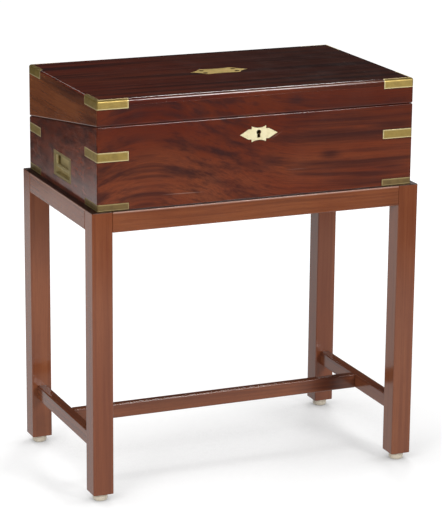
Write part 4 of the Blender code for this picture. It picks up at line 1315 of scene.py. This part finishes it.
@dataclass
class Brasswork:
    """Brass let into the outside: corners, straps, keyhole plate and the plate in the lid."""

    inlay: Inlay
    old: Brass
    darker: Brass
    bright: Brass
    rubbed: Brass
    edge: float = 0.0005
    rub: float = 0.0032

    def build(self) -> None:
        """Make every brass and let it stand for its solid."""
        old, darker = self.old.material(), self.darker.material()
        for corner in CORNERS:
            self._angle(f"lid_corner_{corner}", Body.LID, old, self.inlay.lips)
            self._angle(f"side_strap_{corner}", Body.DESK, old)
            self._angle(f"foot_corner_{corner}", Body.DESK, darker)
        self._plate("escutcheon", Body.DESK, self.rubbed.material(), self.inlay.keyhole)
        self._plate("lid_cartouche", Body.LID, self.bright.material(), self.inlay.cartouche)

    def _plate(self, node: str, body: Body, finish: Material, shift: Shift | None) -> Piece:
        """Make one flat plate."""
        return dressed("brass", node, body, Slot.BRASS, finish, self.edge, shift)

    def _angle(self, node: str, body: Body, finish: Material, shift: Shift | None = None) -> None:
        """Make one angle, with how near each point lies to its lower, upper and free edges.

        Nearness is 1 - d / rub for the distance d to an edge, so that it stays linear on a flat face.

        Args:
            node: the solid that it stands for.
            body: the body that carries it.
            finish: its brass.
            shift: a change to its points.
        """
        mesh = self._plate(node, body, finish, shift).data
        x, y, z = points_of(mesh).T
        low, high = box_of(node)
        corner_x, free_x = (low[0], high[0]) if "left" in node else (high[0], low[0])
        corner_y, free_y = (low[1], high[1]) if "front" in node else (high[1], low[1])
        deep_x, deep_y = np.abs(x - corner_x), np.abs(y - corner_y)
        to_end = np.where(deep_y < deep_x, np.abs(free_x - x), np.abs(free_y - y))
        to_top = high[2] - z + np.minimum(deep_x, deep_y)
        away = np.stack((z - low[2], to_top, to_end), axis=-1)
        layer = mesh.attributes.new("nearness", "FLOAT_VECTOR", "POINT")
        layer.data.foreach_set("vector", (1.0 - away / self.rub).astype(np.float32).ravel())


@dataclass
class Handles:
    """The sunk carrying handles: plate with its pan, screws, and the swinging bail."""

    brass: Brass
    screws: Screws = Screws(0.0019, 0.7, 1.1)
    screw_margin: float = 0.0034
    screw_rise: float = 0.0105
    edge: float = 0.0004
    bar: float = 0.0050
    thickness: float = 0.0044
    bar_round: float = 0.0019
    bend: float = 0.0045
    top_room: float = 0.0002
    pin_radius: float = 0.0012
    pin_length: float = 0.0015

    def build(self) -> None:
        """Make both handles."""
        finish = self.brass.material()
        for side, body in zip(SIDES, (Body.BAIL_LEFT, Body.BAIL_RIGHT)):
            node = f"handle_plate_{side}"
            dressed("brass", node, Body.DESK, Slot.BRASS, finish, self.edge)
            low, high = box_of(node)
            middle, half = (low + high) / 2, (high[1] - low[1]) / 2 - self.screw_margin
            x, out = (low[0], -1.0) if side == "left" else (high[0], 1.0)
            places = [(x, middle[1] + a * half, middle[2] + b * self.screw_rise) for a, b in QUARTERS]
            self.screws.build(f"brass_handle_screws_{side}", Body.DESK, finish, places, (out, 0.0, 0.0))
            self._bail(f"handle_bail_{side}", body, finish)

    def _bail(self, node: str, body: Body, finish: Material) -> None:
        """Bend one bail: a rounded bar carried down, across and up, with a round pin at each end.

        Args:
            node: the solid that it stands for.
            body: the body that carries it.
            finish: its brass.
        """
        low, high = box_of(node)
        x, y, _ = (low + high) / 2
        half = (high[1] - low[1]) / 2 - self.pin_length - self.bar / 2
        foot = low[2] + self.bar / 2
        rise = np.linspace(high[2] - self.top_room, foot + self.bend, 6)[:-1]
        turn = np.linspace(0.0, QUARTER_TURN, 9)
        out = np.concatenate((np.full(len(rise), half), half - self.bend * (1 - np.cos(turn))))
        up = np.concatenate((rise, foot + self.bend * (1 - np.sin(turn))))
        across, height = np.concatenate((out, -out[::-1])), np.concatenate((up, up[::-1]))
        path = np.stack((np.full(len(across), x), across + y, height), axis=-1)
        form = Form(f"brass_{node}")
        sideways = np.array((1.0, 0.0, 0.0))
        form.add(bent_rod(path, sideways, self.bar / 2, self.thickness / 2, self.bar_round))
        turn = np.linspace(0.0, FULL_TURN, 24, endpoint=False)
        for end, root in ((low[1], y - half), (high[1], y + half)):
            grid = np.empty((2, len(turn), 3))
            grid[..., 0] = x + self.pin_radius * np.cos(turn)
            grid[..., 1] = np.array((end, root))[:, None]
            grid[..., 2] = high[2] - self.thickness / 2 + self.pin_radius * np.sin(turn)
            form.add(grid)
        settle(form.build(finish), body, Slot.BRASS, node)


@dataclass
class LockAndHinges:
    """The box lock and the two butt hinges, with their screws."""

    brass: Brass
    steel: Patched
    seam: Seam
    edge: float = 0.0002
    hinge_screws: Screws = Screws(0.0017, 0.4, 0.9)
    rim_screws: Screws = Screws(0.0016, 0.5, 1.3)
    hinge_margins: Pair = (0.008, 0.0034)
    hinge_sunk: float = 0.0003
    rim_sunk: float = 0.0001
    case_screws: float = 0.026
    link_screws: float = 0.0235

    def build(self) -> None:
        """Copy each piece, ease its edges and add its screws."""
        brass = self.brass.material()
        for side in SIDES:
            for half, body in (("base", Body.DESK), ("lid", Body.LID)):
                dressed("fitting", f"hinge_{half}_leaf_{side}", body, Slot.BRASS, brass, self.edge)
            self._screw_hinge(side, brass)
        for node, body in (("lock_case", Body.DESK), ("link_plate", Body.LID)):
            dressed("fitting", node, body, Slot.BRASS, brass, self.edge)
        dressed("fitting", "lock_bolt", Body.BOLT, Slot.STEEL, self.steel.material(), self.edge)
        self._screw_rim("lock_case", Body.DESK, -1, self.case_screws, brass)
        self._screw_rim("link_plate", Body.LID, 1, self.link_screws, brass)

    def _screw_hinge(self, side: str, finish: Material) -> None:
        """Put three screws in each leaf of a hinge.

        Args:
            side: left or right.
            finish: their brass.
        """
        end, edge = self.hinge_margins
        for half, body, sign in (("base", Body.DESK, 1), ("lid", Body.LID, -1)):
            low, high = self.seam.box(f"hinge_{half}_leaf_{side}")
            across = np.linspace(low[0] + end, high[0] - end, 3)
            places = [self.seam.world(np.array((x, low[1] + edge, -sign * self.hinge_sunk))) for x in across]
            name = f"fitting_hinge_screws_{half}_{side}"
            self.hinge_screws.build(name, body, finish, places, self.seam.facing(sign))

    def _screw_rim(self, node: str, body: Body, side: int, out: float, finish: Material) -> None:
        """Put a screw at each end of a plate in the rim.

        Args:
            node: the plate's solid.
            body: the body that carries it.
            side: -1 below the seam, 1 above it.
            out: the screws' distance from the middle.
            finish: their brass.
        """
        low, high = self.seam.box(node)
        reach, height = (low[1] + high[1]) / 2, side * (self.seam.gap / 2 + self.rim_sunk)
        places = [self.seam.world(np.array((x, reach, height))) for x in (-out, out)]
        self.rim_screws.build(f"fitting_{node}_screws", body, finish, places, self.seam.facing(-side))


@dataclass
class WritingSlope:
    """The two flaps of the writing slope with their leathers."""

    wood: Mahogany
    seam: Seam
    edge: float = 0.0004
    steps: int = 90
    wave: float = 0.00006
    rolled: float = 0.0006
    calm: float = 0.004
    along_wave: float = 71.0
    across_wave: float = 57.0
    phase: float = 0.8
    bend: float = 1.3
    bend_wave: float = 43.0
    sharp: float = 60.0

    def build(self) -> None:
        """Make both flaps and lay their leathers."""
        wood = self.wood.cut(Grain.ALONG_X)
        for half, body, side in (("base", Body.DESK, 1), ("lid", Body.LID, -1)):
            dressed("slope", f"{half}_flap", body, Slot.DESK_WOOD, wood, self.edge)
            self._leather(half, body, side)

    def _leather(self, half: str, body: Body, side: int) -> None:
        """Lay one leather: a thin slab whose face waves a little and turns down at its edges.

        The face stands at t (1 - e^(-d / r)) above its bed for the distance d to the nearest edge,
        less a slow product of sines.

        Args:
            half: base or lid.
            body: the body that carries it.
            side: 1 where the face looks up, -1 where it looks down.
        """
        low, high = self.seam.box(f"{half}_leather")
        half_x, half_y, _ = (high - low) / 2
        spread = np.sin(np.linspace(-QUARTER_TURN, QUARTER_TURN, self.steps))
        u, v = np.meshgrid(spread * half_x, spread * half_y, indexing="ij")
        inside = np.minimum(half_x - np.abs(u), half_y - np.abs(v))
        bent = u * self.along_wave + self.bend * np.sin(v * self.bend_wave)
        wave = self.wave * (1.0 + np.sin(bent) * np.sin(v * self.across_wave + self.phase))
        face = (high[2] - low[2]) * (1.0 - np.exp(-inside / self.rolled))
        face -= wave * (1.0 - np.exp(-inside / self.calm))
        bed = low[2] if side > 0 else high[2]
        flat = np.concatenate((np.stack((u, v), -1), np.stack((u, v), -1)[:, ::-1]), axis=1)
        height = np.concatenate((bed + side * np.maximum(face, 0.0), np.full_like(u, bed)), axis=1)
        grid = np.stack((flat[..., 0], flat[..., 1] + (low[1] + high[1]) / 2, height), axis=-1)
        finish = Leather(f"green_leather_{half}", half_x, half_y).material()
        piece = Form(f"slope_{half}_leather").add(self.seam.world(grid)).build(finish, self.sharp)
        loops = np.empty(len(piece.data.loops), np.int32)
        piece.data.loops.foreach_get("vertex_index", loops)
        layer = piece.data.uv_layers.new(name="UVMap")
        layer.data.foreach_set("uv", flat.reshape(-1, 2)[loops].astype(np.float32).ravel())
        settle(piece, body, Slot.LEATHER, f"{half}_leather")
        2 * half_x
        2 * half_y


@dataclass
class PenFittings:
    """Pen tray, its partition, the glass inkwells and their caps."""

    wood: Mahogany
    glass: Patched
    brass: Brass
    edge: float = 0.0005
    glass_edge: float = 0.0008
    wall: float = 0.0018
    roof: float = 0.002
    bead: float = 0.0004
    beads: int = 2
    dome: float = 0.0018
    dish: float = 0.0003
    centre_ring: float = 0.0003

    def build(self) -> None:
        """Make the tray, the partition and both inkwells."""
        wood = self.wood.cut(Grain.ALONG_X)
        for node in ("pen_partition", "pen_tray"):
            dressed("pens", node, Body.DESK, Slot.DESK_WOOD, wood, self.edge)
        glass, brass = self.glass.material(), self.brass.material()
        for side, body in zip(SIDES, (Body.CAP_LEFT, Body.CAP_RIGHT)):
            dressed("pens", f"inkwell_{side}", Body.DESK, Slot.GLASS, glass, self.glass_edge, steps=3)
            self._cap(f"inkwell_cap_{side}", body, brass)

    def _cap(self, node: str, body: Body, finish: Material) -> None:
        """Turn one cap: a hollow skirt with two beads and a low domed crown.

        Args:
            node: the solid that it stands for.
            body: the body that carries it.
            finish: its brass.
        """
        low, high = box_of(node)
        outer, top = (high[0] - low[0]) / 2, high[2]
        inner, ceiling = outer - self.wall, top - self.roof
        rise = np.linspace(0.0, 1.0, 25)
        skirt = outer - self.bead + self.bead * np.cos(rise * self.beads * FULL_TURN)
        heights = low[2] + rise * (top - self.dome - low[2])
        turn = np.linspace(0.0, QUARTER_TURN, 7)[1:]
        crown = outer - self.dome * (1 - np.cos(turn)), top - self.dome * (1 - np.sin(turn))
        share = np.array((0.7, 0.5, 0.3, 0.1, 0.02))
        dish = outer * share, top - self.dish * np.sin(math.pi * share)
        hollow = ((self.centre_ring, ceiling), (inner, ceiling), (inner, low[2]))
        profile = [*hollow, *zip(skirt, heights), *zip(*crown), *zip(*dish)]
        form = Form(f"pens_{node}").add(turned(profile, (low + high) / 2))
        settle(form.build(finish), body, Slot.BRASS, node)


@dataclass(frozen=True)
class Lamp:
    """A soft box: place, the point that it faces, width and height, watts, and whether polish mirrors it."""

    name: str
    place: Triple
    aim: Triple
    size: Pair
    power: float
    mirrored: bool = True

    def hang(self) -> None:
        """Put the lamp into the scene."""
        light = bpy.data.lights.new(self.name, "AREA")
        light.shape = "RECTANGLE"
        light.size, light.size_y = self.size
        light.energy = self.power
        thing = placed(self.name, light)
        thing.visible_camera = False
        thing.visible_glossy = self.mirrored
        thing.location = self.place
        thing.rotation_euler = (Vector(self.aim) - Vector(self.place)).to_track_quat("-Z", "Y").to_euler()


@dataclass
class Studio:
    """Camera, soft lights, the white paper floor and the world around them.

    Each paper, as polish mirrors it, is a round: its middle, where it is full and where it ends.
    """

    eye: Triple = (-1.39448, -3.28933, 1.28343)
    yaw: float = -0.402435
    pitch: float = -0.268282
    roll: float = 0.0087712
    focal_pixels: float = 2378.19
    sensor: float = 36.0
    papers: tuple[tuple[float, ...], ...] = ((-0.45, 0.38, 1.27, 1.82), (0.25, -0.35, 0.75, 1.25))
    floor_reach: float = 20.0
    floor_grey: float = 0.74
    floor_shadow: float = 0.30
    contact: float = 0.5
    far_ring: Pair = (0.5, 1.1)
    near_glow: float = 1.02
    right_edge: Pair = (-0.15, 0.4)
    painted_shadow_right: float = 0.15
    sheen_ring: Pair = (0.35, 1.1)
    sheen_rise: float = 0.12
    sheen_low: float = 0.72
    ambient: float = 0.10
    around: float = 0.02
    lamps: tuple[Lamp, ...] = (
        Lamp("key_left", (-2.59, -1.85, 1.15), (0.0, 0.0, 0.35), (1.4, 1.2), 65.0, False),
        Lamp("key_right", (1.12, -2.78, 1.30), (0.0, 0.0, 0.45), (0.60, 1.0), 56.0),
        Lamp("rim", (0.95, 1.55, 2.15), (0.0, 0.0, 0.55), (0.6, 0.35), 21.0),
        Lamp("edge", (-0.9, 2.4, 1.65), (0.0, 0.0, 0.55), (1.2, 0.15), 1.3),
        Lamp("side", (2.9, 0.5, 1.2), (0.0, 0.0, 0.40), (1.4, 1.2), 18.0, False),
    )

    def build(self) -> None:
        """Set up the whole studio."""
        bpy.context.scene.view_settings.view_transform = "Standard"
        self._camera()
        self._floor()
        self._world()
        for lamp in self.lamps:
            lamp.hang()

    def _camera(self) -> None:
        """Place the camera by its yaw, pitch and roll."""
        level = Vector((-math.sin(self.yaw), math.cos(self.yaw), 0.0))
        forward = level * math.cos(self.pitch) + Vector((0.0, 0.0, math.sin(self.pitch)))
        right = Vector((math.cos(self.yaw), math.sin(self.yaw), 0.0))
        up = right.cross(forward)
        rolled_right = right * math.cos(self.roll) + up * math.sin(self.roll)
        rolled_up = up * math.cos(self.roll) - right * math.sin(self.roll)
        lens = bpy.data.cameras.new("camera")
        lens.sensor_width = self.sensor
        lens.lens = self.focal_pixels * self.sensor / max(PHOTO_SIZE)
        camera = placed("camera", lens)
        turn = Matrix((rolled_right, rolled_up, -forward)).transposed()
        camera.matrix_world = Matrix.Translation(self.eye) @ turn.to_4x4()
        bpy.context.scene.camera = camera

    def _floor(self) -> None:
        """Lay the paper: white to the eye, with a faint cast shadow and a painted one, and of limited size in
        reflections.
        """
        mesh = bpy.data.meshes.new("floor")
        corners = [(a * self.floor_reach, b * self.floor_reach, 0.0) for a, b in QUARTERS]
        mesh.from_pydata(corners, [], [(0, 1, 3, 2)])
        material = bpy.data.materials.new("white_paper")
        material.use_nodes = True
        graph = Graph(material.node_tree)
        x, y, _ = graph.axes(graph.coordinates())

        def away(middle_x: float = 0.0, middle_y: float = 0.0) -> Value:
            """Distance from a place on the floor."""
            beside_x, beside_y = x - middle_x, y - middle_y
            return (beside_x * beside_x + beside_y * beside_y) ** 0.5

        paper = 0.0
        for middle_x, middle_y, full, end in self.papers:
            paper = away(middle_x, middle_y).step(end, full).most(paper)
        far = away().step(*self.far_ring)
        # Painted shadow: the glow is lowered on the desk's right side.
        near = self.near_glow - x.step(*self.right_edge) * self.painted_shadow_right
        # Painted shade in reflections: the paper is dimmer near the desk.
        dim = away().step(*self.sheen_ring) * self.sheen_rise + self.sheen_low
        seen, mirrored = graph.rays()
        matt, faint = (
            graph.node("BsdfDiffuse", {}, {"Color": (grey, grey, grey, 1.0)})
            for grey in (self.floor_grey, self.floor_shadow)
        )
        # Painted shade: ambient occlusion darkens the glow under and around the desk.
        painted_contact_shade = graph.node("AmbientOcclusion", {}, {"Distance": self.contact}, "AO")
        glow = graph.node("Emission", {}, {"Strength": (near + far * (1.0 - near)) * painted_contact_shade})
        white = graph.node("AddShader", {}, {0: faint, 1: glow})
        sheen = graph.node("Emission", {}, {"Strength": paper * dim * (1.0 - self.around) + self.around})
        shown = graph.node("MixShader", {}, {0: seen, 1: matt, 2: white})
        graph.close(graph.node("MixShader", {}, {0: mirrored, 1: shown, 2: sheen}))
        mesh.materials.append(material)
        floor = placed("floor", mesh)

    def _world(self) -> None:
        """Make the surroundings: white to the eye, dim in reflections, a soft fill for the rest."""
        world = bpy.data.worlds.new("studio")
        world.use_nodes = True
        graph = Graph(world.node_tree)
        seen, mirrored = graph.rays()
        strength = seen + (1.0 - seen) * (self.ambient - mirrored * (self.ambient - self.around))
        sky = graph.node("Background", {}, {"Color": (1.0, 1.0, 1.0, 1.0), "Strength": strength})
        graph.close(sky, "ShaderNodeOutputWorld")
        bpy.context.scene.world = world


def main() -> None:
    """Build the studio and every part of the desk, in order."""
    logging.basicConfig(level=logging.INFO, format="%(name)s: %(message)s")
    inlay, seam = Inlay(), Seam()
    Studio().build()
    Stand(STAND_WOOD, RAIL_WOOD, PLASTIC).build()
    DeskShell(
        inlay, seam, FLAME_VENEER, CROWN_VENEER, LID_END_VENEER, BASE_END_VENEER, INSIDE_WOOD
    ).build()
    Brasswork(inlay, OLD_BRASS, DARK_FOOT_BRASS, BRIGHT_BRASS, RUBBED_BRASS).build()
    Handles(OLIVE_BRASS).build()
    LockAndHinges(OLD_BRASS, STEEL, seam).build()
    WritingSlope(INSIDE_WOOD, seam).build()
    PenFittings(INSIDE_WOOD, GLASS, OLD_BRASS).build()


if __name__ == "__main__":
    main()
